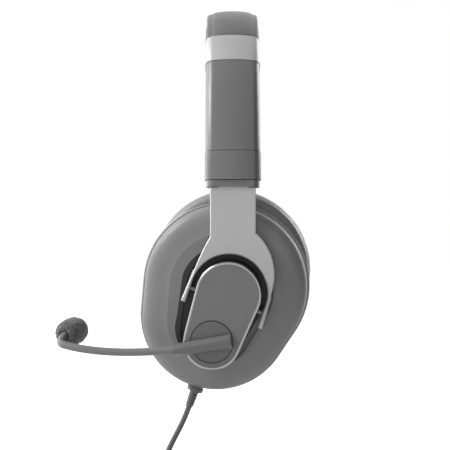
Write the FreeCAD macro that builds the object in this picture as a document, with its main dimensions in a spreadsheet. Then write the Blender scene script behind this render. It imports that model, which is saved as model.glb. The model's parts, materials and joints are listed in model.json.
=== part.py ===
import FreeCAD, Part
import math
import os

import Sketcher

# Over-ear headset with a boom microphone, in millimetres.
# The wearer faces -Y, the wearer's left ear is on +X and +Z is up.
# The origin lies midway between the two ear cushions, on the axis through the ears.

DRIVING = {
    # band
    "crown_top": 152.0,
    "crown_radius": 68.0,
    "crown_side_angle": 60.0,
    "side_radius": 155.0,
    "seam_angle": 79.0,
    "slider_radius": 108.0,
    "swivel_angle": 87.0,
    "band_width": 28.0,
    "band_depth": 12.0,
    "band_corner": 4.5,
    "band_inner_corner": 2.5,
    "band_crown": 62.0,
    "cover_depth": 7.0,
    "cover_corner": 3.4,
    "cover_inner_corner": 0.8,
    "pad_depth": 8.5,
    "pad_width": 30.0,
    "pad_gap": 0.3,
    "pad_seat_inset": 1.5,
    "pad_bulge": 0.6,
    "wrap_angle": 45.0,
    "sleeve_proud": 0.3,
    "side_wall": 1.6,
    "spring_width": 18.0,
    "spring_thickness": 1.0,
    "spring_inset": 2.5,
    "spring_clearance": 0.2,
    "spring_end_angle": 77.0,
    "seam_gap": 0.3,
    "rivet_radius": 1.5,
    "rivet_head_radius": 2.6,
    "rivet_head_height": 0.9,
    "rivet_spacing": 7.0,
    "rivet_gap": 0.05,
    "rivet_angle": 63.0,
    # size slide
    "tongue_width": 15.0,
    "tongue_thickness": 1.2,
    "tongue_length": 32.5,
    "tongue_seat": 5.0,
    "tongue_inset": 1.9,
    "tongue_clearance": 0.05,
    "detent_width": 8.0,
    "detent_length": 14.0,
    "detent_thickness": 0.6,
    "detent_start": 4.0,
    "detent_gap": 0.3,
    "slide_screw_radius": 1.1,
    "slide_screw_head": 2.1,
    "slide_screw_head_height": 1.0,
    "slide_screw_head_gap": 0.2,
    "slide_screw_spacing": 7.0,
    "seat_gap": 0.02,
    # swivel and yoke
    "collar_height": 3.7,
    "collar_width": 27.0,
    "collar_depth": 10.4,
    "collar_corner": 3.6,
    "swivel_pin_radius": 3.0,
    "swivel_pin_length": 8.0,
    "swivel_clearance": 0.05,
    "pin_end_gap": 0.3,
    "arm_width": 23.2,
    "arm_thickness": 2.6,
    "arm_offset": 3.0,
    "arm_drop": 57.3,
    "arm_edge": 0.5,
    "tang_width": 16.0,
    "tang_length": 2.6,
    "tang_gap": 0.05,
    "shoulder_drop": 24.6,
    "leg_outer": 21.7,
    "leg_width": 2.3,
    "leg_waist": 1.3,
    "left_neck_low": 0.8,
    "right_neck_high": 1.2,
    "left_hip_height": 15.0,
    "left_hip_inset": 0.3,
    "right_hip_height": 14.0,
    "right_hip_inset": 0.4,
    "left_bow_across": 0.7,
    "left_bow_along": 0.9,
    "right_bow_across": 14.2,
    "right_bow_height": 28.3,
    "leg_below_pivot": 7.7,
    "leg_depth": 6.3,
    "leg_bar_top": 9.0,
    "pivot_back": -3.3,
    "pivot_inset": 3.0,
    "pivot_pin_radius": 1.3,
    "pin_overrun": 0.2,
    "pivot_pin_clearance": 0.05,
    "slant": 19.4,
    "cup_tilt": 9.0,
    # cup
    "pod_top": 4.0,
    "pod_top_radius": 16.5,
    "pod_bottom": -21.3,
    "pod_bottom_radius": 14.5,
    "pod_height": 7.0,
    "pod_wall": 2.2,
    "plate_thickness": 1.6,
    "trim_width": 1.1,
    "trim_gap": 0.1,
    "plate_edge": 0.4,
    "moat_top_radius": 22.4,
    "moat_bottom": -17.0,
    "moat_bottom_radius": 18.2,
    "moat_depth": 6.2,
    "cup_back": -2.7,
    "shell_top": 4.8,
    "shell_top_radius": 41.3,
    "shell_bottom": -12.1,
    "shell_bottom_radius": 37.2,
    "shell_face_depth": 4.2,
    "shell_rim_depth": 8.6,
    "shell_back_depth": 16.0,
    "shell_flare": 0.8,
    "shell_wall": 2.0,
    "shell_cavity_top": 8.2,
    "baffle_thickness": 2.0,
    "baffle_lip": 1.9,
    "driver_up": -3.0,
    "driver_radius": 20.0,
    "driver_depth": 3.2,
    "driver_clearance": 0.15,
    "magnet_radius": 9.0,
    "magnet_height": 3.0,
    "diaphragm_radius": 17.0,
    "diaphragm_thickness": 0.4,
    "diaphragm_rise": 1.1,
    "voice_coil_radius": 9.0,
    "grille_thickness": 0.8,
    "grille_hole": 1.5,
    "ring_thickness": 1.2,
    "ring_inset": 3.5,
    "cushion_gap": 0.3,
    "cushion_top": 12.6,
    "cushion_top_radius": 41.5,
    "cushion_bottom": -13.6,
    "cushion_bottom_radius": 40.0,
    "cushion_thickness": 21.0,
    "cushion_roll": 10.5,
    "cushion_inner_roll": 7.5,
    "cushion_back_roll": 4.5,
    "cushion_seat_roll": 2.0,
    "ear_top": 8.0,
    "ear_top_radius": 21.5,
    "ear_bottom": -10.0,
    "ear_bottom_radius": 20.5,
    "screw_radius": 1.3,
    "screw_head_radius": 2.4,
    "screw_length": 6.5,
    "post_radius": 3.2,
    "post_spread": 30.0,
    "post_side_spread": 27.0,
    # microphone
    "hub_radius": 10.4,
    "hub_groove": 0.6,
    "hub_height": 0.5,
    "hub_sink": 1.1,
    "hub_running_gap": 0.1,
    "hub_shaft_radius": 4.0,
    "hub_shaft_length": 3.2,
    "hub_clearance": 0.05,
    "washer_radius": 6.5,
    "washer_thickness": 0.8,
    "hub_screw_radius": 1.5,
    "hub_screw_length": 2.6,
    "hub_screw_head_height": 1.2,
    "boom_turn": 28.2,
    "bar_tail": 9.8,
    "bar_reach": 19.4,
    "bar_offset": 1.2,
    "bar_root_width": 8.0,
    "bar_tip_width": 6.3,
    "bar_height": 4.6,
    "bar_bevel": 1.6,
    "tube_radius": 1.95,
    "tube_height": 2.4,
    "tube_seat": 4.0,
    "capsule_radius": 4.2,
    "capsule_length": 9.0,
    "capsule_overlap": 3.0,
    "mic_radius": 3.0,
    "mic_length": 3.0,
    "mic_gap": 0.05,
    "windscreen_radius": 7.3,
    "windscreen_length": 17.5,
    "windscreen_back": 5.5,
    "windscreen_neck": 2.2,
    "windscreen_hollow_past": 2.9,
    "windscreen_shoulder": 4.2,
    "windscreen_nose": 5.6,
    "windscreen_wall_gap": 0.3,
    # lead
    "gland_radius": 3.6,
    "gland_length": 4.4,
    "gland_lip": 1.7,
    "gland_flange": 0.6,
    "gland_depth": 11.7,
    "gland_foot": -50.2,
    "relief_radius": 2.4,
    "relief_tip_radius": 2.1,
    "relief_length": 9.0,
    "lead_radius": 1.5,
    "coil_radius": 17.5,
    "coil_pitch": 3.5,
    "coil_layers": 4.0,
    "coil_turns_per_layer": 3.0,
    "tie_width": 6.0,
    "tie_wall": 1.0,
    "tie_gap": 0.35,
    "plug_radius": 4.2,
    "plug_length": 20.0,
    "plug_neck_radius": 2.6,
    "plug_neck_length": 6.0,
    "jack_radius": 1.75,
    "jack_length": 14.0,
    "jack_tip_length": 1.3,
}

doc = FreeCAD.newDocument("Headset")
sheet = doc.addObject("Spreadsheet::Sheet", "Sizes")
for row, (alias, number) in enumerate(DRIVING.items(), 1):
    sheet.set(f"A{row}", alias)
    sheet.set(f"B{row}", str(number))
    sheet.setAlias(f"B{row}", alias)
doc.recompute()

V = FreeCAD.Vector
Rule = Sketcher.Constraint
X_AXIS, Y_AXIS, Z_AXIS = V(1, 0, 0), V(0, 1, 0), V(0, 0, 1)
NODES = {}


# Values and places


def value(formula):
    """The number that a formula of the sheet's cells gives."""
    found = sheet.evalExpression(str(formula))
    return float(getattr(found, "Value", found))


def s(alias):
    return value("Sizes." + alias)


def axes(x, y, z):
    return FreeCAD.Rotation(x, y, z, "XYZ")


def turned(axis, degrees, at=V(0, 0, 0)):
    return FreeCAD.Placement(at, FreeCAD.Rotation(axis, degrees))


def frame(name, placement):
    made = doc.addObject("Part::LocalCoordinateSystem", name)
    made.Placement = placement
    return made


NO_TURN = "vector(0; 0; 1); 0"
TURNS = {"X": "vector(0; 1; 0); 90", "Y": "vector(1; 0; 0); -90", None: NO_TURN}


def bind_place(item, where, shift, turn):
    x, y, z = shift or ("0", "0", "0")
    local = f"placement(vector({x}; {y}; {z}); rotation({turn}))"
    item.setExpression("Placement", f"{where.Name}.Placement * {local}")


def place_on(item, where, shift=None):
    """Ties a piece to a frame, shifted in that frame's own axes by formulas."""
    bind_place(item, where, shift, NO_TURN)


def keep(node, item):
    item.Label = node
    NODES[node] = item
    return item


def body_on(name, where, shift=None):
    made = doc.addObject("PartDesign::Body", name)
    place_on(made, where, shift)
    return made


# Sketches


def sketch_on(body, name, height="0", plane="XY_Plane"):
    made = body.newObject("Sketcher::SketchObject", name)
    support = [item for item in body.Origin.OriginFeatures if item.Role == plane][0]
    made.AttachmentSupport = [(support, "")]
    made.MapMode = "FlatFace"
    made.setExpression("AttachmentOffset.Base.z", height)
    return made


def bind(sketch, rule, formula):
    index = sketch.addConstraint(rule)
    sketch.setExpression(f"Constraints[{index}]", str(formula))


def arc_of(x, y, radius, start, end):
    return Part.ArcOfCircle(Part.Circle(V(x, y, 0), Z_AXIS, radius), start, end)


def circle_on(sketch, x, y, radius):
    made = sketch.addGeometry(Part.Circle(V(value(x), value(y), 0), Z_AXIS, value(radius)))
    bind(sketch, Rule("DistanceX", -1, 1, made, 3, value(x)), x)
    bind(sketch, Rule("DistanceY", -1, 1, made, 3, value(y)), y)
    bind(sketch, Rule("Radius", made, value(radius)), radius)
    return made


def oval_on(sketch, x, top, top_radius, bottom, bottom_radius):
    """The hull of two circles, one above the other."""
    cx, y1, r1, y2, r2 = [value(item) for item in (x, top, top_radius, bottom, bottom_radius)]
    lean = math.asin((r2 - r1) / (y1 - y2))
    upper = sketch.addGeometry(arc_of(cx, y1, r1, lean, math.pi - lean))
    lower = sketch.addGeometry(arc_of(cx, y2, r2, math.pi - lean, 2 * math.pi + lean))

    def touch(side, height, radius):
        return V(cx + side * radius * math.cos(lean), height + radius * math.sin(lean), 0)

    left = sketch.addGeometry(Part.LineSegment(touch(-1, y1, r1), touch(-1, y2, r2)))
    right = sketch.addGeometry(Part.LineSegment(touch(1, y2, r2), touch(1, y1, r1)))
    for one, other in ((upper, left), (left, lower), (lower, right), (right, upper)):
        sketch.addConstraint(Rule("Tangent", one, 2, other, 1))
    for arc, height, radius in ((upper, top, top_radius), (lower, bottom, bottom_radius)):
        bind(sketch, Rule("DistanceX", -1, 1, arc, 3, cx), x)
        bind(sketch, Rule("DistanceY", -1, 1, arc, 3, value(height)), height)
        bind(sketch, Rule("Radius", arc, value(radius)), radius)


def closed_lines(corners):
    return [Part.LineSegment(one, other) for one, other in zip(corners, corners[1:] + corners[:1])]


def rectangle_on(sketch, left, right, low, high):
    x1, x2, y1, y2 = [value(item) for item in (left, right, low, high)]
    corners = [V(x1, y1, 0), V(x2, y1, 0), V(x2, y2, 0), V(x1, y2, 0)]
    sides = [sketch.addGeometry(line) for line in closed_lines(corners)]
    for one, other in zip(sides, sides[1:] + sides[:1]):
        sketch.addConstraint(Rule("Coincident", one, 2, other, 1))
    for side, rule in zip(sides, ("Horizontal", "Vertical", "Horizontal", "Vertical")):
        sketch.addConstraint(Rule(rule, side))
    bind(sketch, Rule("DistanceX", -1, 1, sides[0], 1, x1), left)
    bind(sketch, Rule("DistanceX", -1, 1, sides[1], 1, x2), right)
    bind(sketch, Rule("DistanceY", -1, 1, sides[0], 1, y1), low)
    bind(sketch, Rule("DistanceY", -1, 1, sides[2], 1, y2), high)


def rounded_rectangle_on(sketch, half_width, half_depth, corner):
    """A rectangle with round corners about the sketch's origin."""
    w, d, radius = [value(item) for item in (half_width, half_depth, corner)]
    quarter = math.pi / 2
    corners = []
    for turn, (side_x, side_y) in enumerate(((1, 1), (-1, 1), (-1, -1), (1, -1))):
        corners.append((side_x * (w - radius), side_y * (d - radius), turn * quarter))
    arcs = [arc_of(x, y, radius, start, start + quarter) for x, y, start in corners]
    lines = [Part.LineSegment(arcs[turn].EndPoint, arcs[(turn + 1) % 4].StartPoint) for turn in range(4)]
    arcs = [sketch.addGeometry(arc) for arc in arcs]
    lines = [sketch.addGeometry(line) for line in lines]
    for index, line in enumerate(lines):
        sketch.addConstraint(Rule("Tangent", arcs[index], 2, line, 1))
        sketch.addConstraint(Rule("Tangent", line, 2, arcs[(index + 1) % 4], 1))
    for index, sign in ((0, ""), (2, "-")):
        x, y, start = corners[index]
        bind(sketch, Rule("DistanceX", -1, 1, arcs[index], 3, x), f"{sign}({half_width} - {corner})")
        bind(sketch, Rule("DistanceY", -1, 1, arcs[index], 3, y), f"{sign}({half_depth} - {corner})")
        bind(sketch, Rule("Radius", arcs[index], radius), corner)


def band_section_on(sketch, half, outer, depth, corners=("Sizes.band_corner", "Sizes.band_inner_corner")):
    """A band's section: a flat underside, upright sides and a crowned top, all with round corners."""
    crown = "Sizes.band_crown"
    corner, inner_corner = corners
    a, r, deep, rc, ri, big = [value(item) for item in (half, outer, depth, corner, inner_corner, crown)]
    centre = r - big
    corner_y = centre + math.sqrt((big - rc) ** 2 - (a - rc) ** 2)
    slope = math.atan2(corner_y - centre, a - rc)
    quarter = math.pi / 2
    under = r - deep
    ring = [
        sketch.addGeometry(item)
        for item in (
            Part.LineSegment(V(ri - a, under, 0), V(a - ri, under, 0)),
            arc_of(a - ri, under + ri, ri, -quarter, 0),
            Part.LineSegment(V(a, under + ri, 0), V(a, corner_y, 0)),
            arc_of(a - rc, corner_y, rc, 0, slope),
            arc_of(0, centre, big, slope, math.pi - slope),
            arc_of(rc - a, corner_y, rc, math.pi - slope, math.pi),
            Part.LineSegment(V(-a, corner_y, 0), V(-a, under + ri, 0)),
            arc_of(ri - a, under + ri, ri, math.pi, 3 * quarter),
        )
    ]
    for one, other in zip(ring, ring[1:] + ring[:1]):
        sketch.addConstraint(Rule("Tangent", one, 2, other, 1))
    sketch.addConstraint(Rule("Vertical", ring[2]))
    sketch.addConstraint(Rule("Vertical", ring[6]))
    sketch.addConstraint(Rule("PointOnObject", ring[4], 3, -2))
    sketch.addConstraint(Rule("Equal", ring[1], ring[7]))
    sketch.addConstraint(Rule("Equal", ring[3], ring[5]))
    bind(sketch, Rule("Radius", ring[1], ri), inner_corner)
    bind(sketch, Rule("Radius", ring[3], rc), corner)
    bind(sketch, Rule("Radius", ring[4], big), crown)
    bind(sketch, Rule("DistanceX", -1, 1, ring[2], 1, a), half)
    bind(sketch, Rule("DistanceX", ring[6], 1, -1, 1, a), half)
    bind(sketch, Rule("DistanceY", -1, 1, ring[0], 1, under), f"{outer} - ({depth})")
    bind(sketch, Rule("DistanceY", -1, 1, ring[4], 3, centre), f"{outer} - {crown}")


def outline_on(sketch, pieces):
    """A closed outline of lines and arcs whose ends are already worked out from the sheet."""
    made = [sketch.addGeometry(piece) for piece in pieces]
    for piece in made:
        sketch.addConstraint(Rule("Block", piece))
    return made


# Features


def feature(body, kind, name, sketch, **settings):
    made = body.newObject("PartDesign::" + kind, name)
    made.Profile = sketch
    for key, setting in settings.items():
        if isinstance(setting, str) and key in ("Length", "Length2", "Angle"):
            made.setExpression(key, setting)
        else:
            setattr(made, key, setting)
    return made


def pad(body, name, sketch, length, back=False, both=False):
    return feature(body, "Pad", name, sketch, Length=length, Reversed=back, Midplane=both)


def pocket(body, name, sketch, length, back=False, both=False):
    return feature(body, "Pocket", name, sketch, Length=length, Reversed=back, Midplane=both)


def pocket_all(body, name, sketch, back=False, both=False):
    return feature(body, "Pocket", name, sketch, Type="ThroughAll", Reversed=back, Midplane=both)


def loft(body, name, sketches, cut=False, ruled=False):
    made = body.newObject("PartDesign::SubtractiveLoft" if cut else "PartDesign::AdditiveLoft", name)
    made.Profile = sketches[0]
    made.Sections = sketches[1:]
    made.Ruled = ruled
    return made


def sweep_round(body, name, sketch, angle):
    return feature(body, "Revolution", name, sketch, ReferenceAxis=(sketch, ["H_Axis"]), Angle=angle)


def groove_round(body, name, sketch, angle):
    """Takes a swept section out of a body and makes sure that it cuts."""
    doc.recompute()
    before = body.Shape.Volume
    made = feature(body, "Groove", name, sketch, ReferenceAxis=(sketch, ["H_Axis"]), Angle=angle)
    doc.recompute()
    if body.Shape.Volume > before - 1:
        raise ValueError(f"{name} cuts nothing")
    return made


def oval_sections(body, name, offsets):
    """Ovals of one pair of circles at several heights, each drawn in or out by its own amount."""
    made = []
    for index, (height, oval, grow) in enumerate(offsets):
        x, top, top_radius, bottom, bottom_radius = oval
        sketch = sketch_on(body, f"{name}{index}", height)
        oval_on(sketch, x, top, f"{top_radius} + ({grow})", bottom, f"{bottom_radius} + ({grow})")
        made.append(sketch)
    return made


def face_towards(shape, direction):
    """The name of the flat face that lies furthest along a direction and faces that way."""
    found = []
    for index, face in enumerate(shape.Faces, 1):
        if face.Surface.TypeId == "Part::GeomPlane" and face.normalAt(0, 0).dot(direction) > 0.999:
            found.append((face.CenterOfMass.dot(direction), f"Face{index}"))
    return max(found)[1]


def bevel_face(body, name, base, direction, size, kind="Chamfer"):
    doc.recompute()
    local = base.Shape
    made = body.newObject("PartDesign::" + kind, name)
    made.Base = (base, [face_towards(local, direction)])
    made.setExpression("Radius" if kind == "Fillet" else "Size", size)
    return made


def cylinder(name, where, radius, height, shift=None, axis=None):
    """A cylinder along the frame's Z axis, or along its X or Y axis."""
    made = doc.addObject("Part::Cylinder", name)
    made.setExpression("Radius", radius)
    made.setExpression("Height", height)
    bind_place(made, where, shift, TURNS[axis])
    return made


def block(name, where, size, shift):
    made = doc.addObject("Part::Box", name)
    for key, formula in zip(("Length", "Width", "Height"), size):
        made.setExpression(key, formula)
    place_on(made, where, shift)
    return made


def cut(name, base, tool):
    made = doc.addObject("Part::Cut", name)
    made.Base = base
    made.Tool = tool
    return made


def fuse(name, items):
    made = doc.addObject("Part::MultiFuse", name)
    made.Shapes = items
    return made


def mirrored(node, source):
    made = doc.addObject("Part::Mirroring", node)
    made.Source = source
    made.Normal = X_AXIS
    return keep(node, made)


def both_sides(piece, source):
    keep("left_" + piece, source)
    mirrored("right_" + piece, source)


# Frames that the pieces are built in

def radial(angle):
    """The outward direction at an angle from the top of the band, over the left side."""
    return V(math.sin(math.radians(angle)), 0, math.cos(math.radians(angle)))


crown_centre = V(0, 0, s("crown_top") - s("crown_radius"))
side_centre = crown_centre + radial(s("crown_side_angle")) * (s("crown_radius") - s("side_radius"))
slider_centre = side_centre + radial(s("seam_angle")) * (s("side_radius") - s("slider_radius"))


def arc_frame(name, centre, angle):
    """X runs across the band, Y points outward at the start of the arc and Z runs down the band."""
    out = radial(angle)
    return frame(name, FreeCAD.Placement(centre, axes(Y_AXIS, out, Y_AXIS.cross(out))))


def hanging_frame(name, origin, angle):
    """X runs to the back, Y runs up the band and Z points outward."""
    out = radial(angle)
    return frame(name, FreeCAD.Placement(origin, axes(Y_AXIS, out.cross(Y_AXIS), out)))


WrapStart = arc_frame("WrapStart", crown_centre, -s("wrap_angle"))
PadStart = arc_frame("PadStart", crown_centre, 2 - s("wrap_angle"))
WrapEnd = arc_frame("WrapEnd", crown_centre, s("wrap_angle"))
SideTop = arc_frame("SideTop", side_centre, s("crown_side_angle"))
SliderTop = arc_frame("SliderTop", slider_centre, s("seam_angle"))
seam_point = slider_centre + radial(s("seam_angle")) * (s("slider_radius") - s("band_depth") / 2)
swivel_point = slider_centre + radial(s("swivel_angle")) * (s("slider_radius") - s("band_depth") / 2)
Slide = hanging_frame("Slide", seam_point, s("seam_angle"))
Swivel = hanging_frame("Swivel", swivel_point, s("swivel_angle"))
Arm = frame(
    "Arm",
    Swivel.Placement * FreeCAD.Placement(V(0, -s("collar_height"), s("arm_offset")), FreeCAD.Rotation()),
)
Pivot = frame(
    "Pivot",
    Arm.Placement * turned(Z_AXIS, -s("slant"), V(s("pivot_back"), -s("arm_drop"), -s("pivot_inset"))),
)
Cup = frame("Cup", Pivot.Placement * turned(X_AXIS, s("cup_tilt")))
Hub = frame(
    "Hub",
    Cup.Placement * turned(Z_AXIS, 180 + s("boom_turn"), V(0, s("pod_bottom"), s("pod_height"))),
)


# Headband

HALF_BAND = "Sizes.band_width / 2"


def cut_spring_slot(body, angle):
    """The slot that the spring strip lies in, across the section."""
    sketch = sketch_on(body, body.Name + "Slot")
    half = "Sizes.spring_width / 2 + Sizes.spring_clearance"
    top = "Sizes.crown_radius - Sizes.spring_inset + Sizes.spring_clearance"
    low = "Sizes.crown_radius - Sizes.spring_inset - Sizes.spring_thickness - Sizes.spring_clearance"
    rectangle_on(sketch, f"-({half})", half, low, top)
    groove_round(body, body.Name + "SlotCut", sketch, angle)


def band_cover():
    body = body_on("BandCover", WrapStart)
    sketch = sketch_on(body, "BandCoverSection")
    corners = ("Sizes.cover_corner", "Sizes.cover_inner_corner")
    band_section_on(sketch, HALF_BAND, "Sizes.crown_radius", "Sizes.cover_depth", corners)
    sweep_round(body, "BandCoverSweep", sketch, "2 * Sizes.wrap_angle")
    cut_spring_slot(body, "2 * Sizes.wrap_angle")
    return body


def band_pad():
    """The underside pad is crowned towards the head and drawn in at both ends."""
    body = body_on("BandPad", PadStart)
    outer = "Sizes.crown_radius - Sizes.cover_depth - Sizes.pad_gap"
    sketch = sketch_on(body, "BandPadSection")
    half = s("pad_width") / 2
    top = value(outer)
    low = top - s("pad_depth")
    round_end = s("pad_depth") * 0.42
    sag = s("pad_depth") * 0.18
    seat = half - s("pad_seat_inset")
    bulge = half + s("pad_bulge")

    def at(across, height):
        return V(across, height, 0)

    middle, foot = (top + low + sag) / 2, low + sag
    pieces = [
        Part.LineSegment(at(seat, top), at(-seat, top)),
        Part.Arc(at(-seat, top), at(-bulge, middle), at(round_end - half, foot)),
        Part.Arc(at(round_end - half, foot), at(0, low), at(half - round_end, foot)),
        Part.Arc(at(half - round_end, foot), at(bulge, middle), at(seat, top)),
    ]
    outline_on(sketch, pieces)
    sweep_round(body, "BandPadSweep", sketch, "2 * Sizes.wrap_angle - 4")
    return body


def accent_sleeve():
    body = body_on("AccentSleeve", WrapEnd)
    sketch = sketch_on(body, "AccentSection")
    band_section_on(
        sketch, f"{HALF_BAND} + Sizes.sleeve_proud", "Sizes.crown_radius + Sizes.sleeve_proud",
        "Sizes.band_depth + 2 * Sizes.sleeve_proud",
    )
    sweep_round(body, "AccentSweep", sketch, "Sizes.crown_side_angle - Sizes.wrap_angle")
    cut_spring_slot(body, "Sizes.crown_side_angle - Sizes.wrap_angle")
    return body


def side_cover():
    """A closed tube of the band's section that the tongue slides in."""
    body = body_on("SideCover", SideTop)
    sketch = sketch_on(body, "SideCoverSection")
    band_section_on(sketch, HALF_BAND, "Sizes.side_radius", "Sizes.band_depth")
    sweep_round(body, "SideCoverSweep", sketch, "Sizes.seam_angle - Sizes.crown_side_angle")
    wall = "Sizes.side_wall"
    channel = sketch_on(body, "SideCoverChannel")
    band_section_on(
        channel, f"{HALF_BAND} - {wall}", f"Sizes.side_radius - {wall}", f"Sizes.band_depth - 2 * {wall}",
        (f"Sizes.band_corner - {wall}", f"Sizes.band_inner_corner - {wall}"),
    )
    groove_round(body, "SideCoverHollow", channel, "Sizes.seam_angle - Sizes.crown_side_angle")
    hole = "Sizes.rivet_radius + Sizes.rivet_gap"
    drill = [
        cylinder(f"RivetHole{index}", RivetPlace[side], hole, "Sizes.side_wall + 2", ("0", "0", "-1"))
        for index, side in enumerate((-1, 1))
    ]
    return cut("SideCoverDrilled", body, fuse("RivetHoles", drill))


RivetPlace = {}
for rivet_side in (-1, 1):
    rivet_out = radial(s("rivet_angle"))
    rivet_at = side_centre + rivet_out * (s("side_radius") - s("band_depth"))
    RivetPlace[rivet_side] = frame(
        f"RivetPlace{rivet_side + 1}",
        FreeCAD.Placement(
            rivet_at + Y_AXIS * rivet_side * s("rivet_spacing"),
            axes(Y_AXIS, rivet_out.cross(Y_AXIS), rivet_out),
        ),
    )


def spring_strip():
    """The steel strip, which runs inside the outer face of the band from one side cover to the other."""
    body = doc.addObject("PartDesign::Body", "SpringStrip")
    sketch = sketch_on(body, "SpringOutline", plane="XZ_Plane")
    outside, inside = s("spring_inset"), s("spring_inset") + s("spring_thickness")

    def at(centre, radius, angle, side):
        point = centre + radial(angle) * radius
        return V(side * point.x, point.z, 0)

    def run(depth, side, start, end, centre, radius):
        angles = (start, (start + end) / 2, end)
        return Part.Arc(*[at(centre, radius - depth, angle, side) for angle in angles])

    top, bottom = s("crown_side_angle"), s("spring_end_angle")
    pieces = [run(depth, 1, -top, top, crown_centre, s("crown_radius")) for depth in (outside, inside)]
    for side in (-1, 1):
        for depth in (outside, inside):
            pieces.append(run(depth, side, top, bottom, side_centre, s("side_radius")))
        ends = [at(side_centre, s("side_radius") - depth, bottom, side) for depth in (outside, inside)]
        pieces.append(Part.LineSegment(*ends))
    outline_on(sketch, pieces)
    pad(body, "SpringPad", sketch, "Sizes.spring_width", both=True)
    return body


def rivets():
    """Round-headed rivets through the inner wall of each side cover."""
    made = []
    for side, where in RivetPlace.items():
        reach = "Sizes.band_depth - Sizes.spring_inset - Sizes.spring_thickness - Sizes.rivet_gap"
        shank = cylinder(
            f"RivetShank{side + 1}", where, "Sizes.rivet_radius", f"{reach} + Sizes.rivet_head_height / 2",
            ("0", "0", "-Sizes.rivet_head_height / 2"),
        )
        head = cylinder(f"RivetHead{side + 1}", where, "Sizes.rivet_head_radius", "Sizes.rivet_head_height",
                        ("0", "0", "-Sizes.rivet_gap - Sizes.rivet_head_height"))
        made.append(fuse(f"Rivet{side + 1}", [shank, head]))
    for item in list(made):
        other = doc.addObject("Part::Mirroring", item.Name + "Right")
        other.Source = item
        other.Normal = X_AXIS
        made.append(other)
    group = doc.addObject("Part::Compound", "Rivets")
    group.Links = made
    return group


keep("headband_cover", band_cover())
keep("headband_cushion", band_pad())
keep("headband_spring", spring_strip())
both_sides("accent_sleeve", accent_sleeve())
both_sides("side_cover", side_cover())
keep("headband_rivets", rivets())


# Size slide

TONGUE_LOW = "-Sizes.tongue_inset - Sizes.tongue_thickness / 2"


def detent_spring():
    """A leaf on the inner wall of the side cover with a rounded bump under the tongue."""
    bump_radius = "Sizes.detent_thickness + 0.2"
    leaf_low = f"{TONGUE_LOW} - Sizes.detent_gap - 2 * ({bump_radius}) + 0.2"
    leaf = block(
        "DetentLeaf", Slide, ("Sizes.detent_width", "Sizes.detent_length", "Sizes.detent_thickness"),
        ("-Sizes.detent_width / 2", "Sizes.detent_start", leaf_low),
    )
    bump = cylinder(
        "DetentBump", Slide, bump_radius, "Sizes.detent_width",
        ("-Sizes.detent_width / 2", "Sizes.detent_start + Sizes.detent_length / 2",
         f"{TONGUE_LOW} - Sizes.detent_gap - ({bump_radius})"), axis="X",
    )
    return fuse("DetentSpring", [leaf, bump])


def tongue():
    body = body_on("Tongue", Slide, ("0", "0", TONGUE_LOW))
    sketch = sketch_on(body, "TongueOutline")
    half = "Sizes.tongue_width / 2"
    rectangle_on(sketch, f"-{half}", half, "-Sizes.tongue_seat", "Sizes.tongue_length")
    last = pad(body, "TonguePad", sketch, "Sizes.tongue_thickness")
    notches = sketch_on(body, "TongueNotches")
    count = 5
    for index in range(count):
        up = f"Sizes.detent_start + Sizes.detent_length / 2 + {index} * 4"
        circle_on(notches, "0", up, "Sizes.detent_thickness + 0.4")
    pocket_all(body, "TongueNotchCut", notches, back=True)
    doc.recompute()
    if abs(last.Shape.Volume - body.Shape.Volume) < 0.1:
        raise ValueError("the notches cut nothing")
    return body


def slide_screw_at(side):
    return f"{side} * Sizes.slide_screw_spacing / 2", "-Sizes.tongue_seat / 2"


def slider_housing():
    """The block under the seam. The tongue is screwed into its top and the swivel pin turns in its foot."""
    body = body_on("SliderBlock", SliderTop)
    sketch = sketch_on(body, "SliderSection")
    band_section_on(
        sketch, f"{HALF_BAND} + Sizes.sleeve_proud", "Sizes.slider_radius + Sizes.sleeve_proud",
        "Sizes.band_depth + 2 * Sizes.sleeve_proud",
    )
    sweep_round(body, "SliderSweep", sketch, "Sizes.swivel_angle - Sizes.seam_angle")
    clear = "Sizes.tongue_clearance"
    slot_width, slot_height = f"Sizes.tongue_width + 2 * {clear}", f"Sizes.tongue_thickness + 2 * {clear}"
    slot = block(
        "TongueSlot", Slide, (slot_width, "2 * Sizes.tongue_seat", slot_height),
        (f"-Sizes.tongue_width / 2 - {clear}", f"-Sizes.tongue_seat - {clear}", f"{TONGUE_LOW} - {clear}"),
    )
    top = block("SeamTrim", Slide, ("60", "10", "60"), ("-30", "-Sizes.seam_gap", "-30"))
    bore = cylinder(
        "SwivelBore", Swivel, "Sizes.swivel_pin_radius + Sizes.swivel_clearance",
        "Sizes.swivel_pin_length + 1 + Sizes.pin_end_gap", ("0", "-1", "0"), axis="Y",
    )
    screws = [
        cylinder(
            f"SlideScrewBore{index}", Slide, "Sizes.slide_screw_radius + Sizes.seat_gap",
            "Sizes.band_depth / 2 + 1", (*slide_screw_at(side), "-Sizes.band_depth / 2 - 1"),
        )
        for index, side in enumerate((-1, 1))
    ]
    return cut("SliderHousing", body, fuse("SliderCuts", [slot, top, bore] + screws))


def slider_screws():
    made = []
    for index, side in enumerate((-1, 1)):
        x, y = slide_screw_at(side)
        low = "Sizes.band_depth / 2 + Sizes.sleeve_proud + Sizes.slide_screw_head_height"
        length = f"{low} + ({TONGUE_LOW}) - Sizes.seat_gap"
        shank = cylinder(
            f"SlideScrew{index}", Slide, "Sizes.slide_screw_radius", length, (x, y, f"-({low})")
        )
        head = cylinder(
            f"SlideScrewHead{index}", Slide, "Sizes.slide_screw_head", "Sizes.slide_screw_head_height",
            (x, y, f"-({low}) - Sizes.slide_screw_head_gap"),
        )
        made.append(fuse(f"SlideScrewWhole{index}", [shank, head]))
    group = doc.addObject("Part::Compound", "SlideScrews")
    group.Links = made
    return group


both_sides("detent_spring", detent_spring())
both_sides("slider_tongue", tongue())
both_sides("slider_housing", slider_housing())
both_sides("slider_screws", slider_screws())


# Yoke


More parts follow.
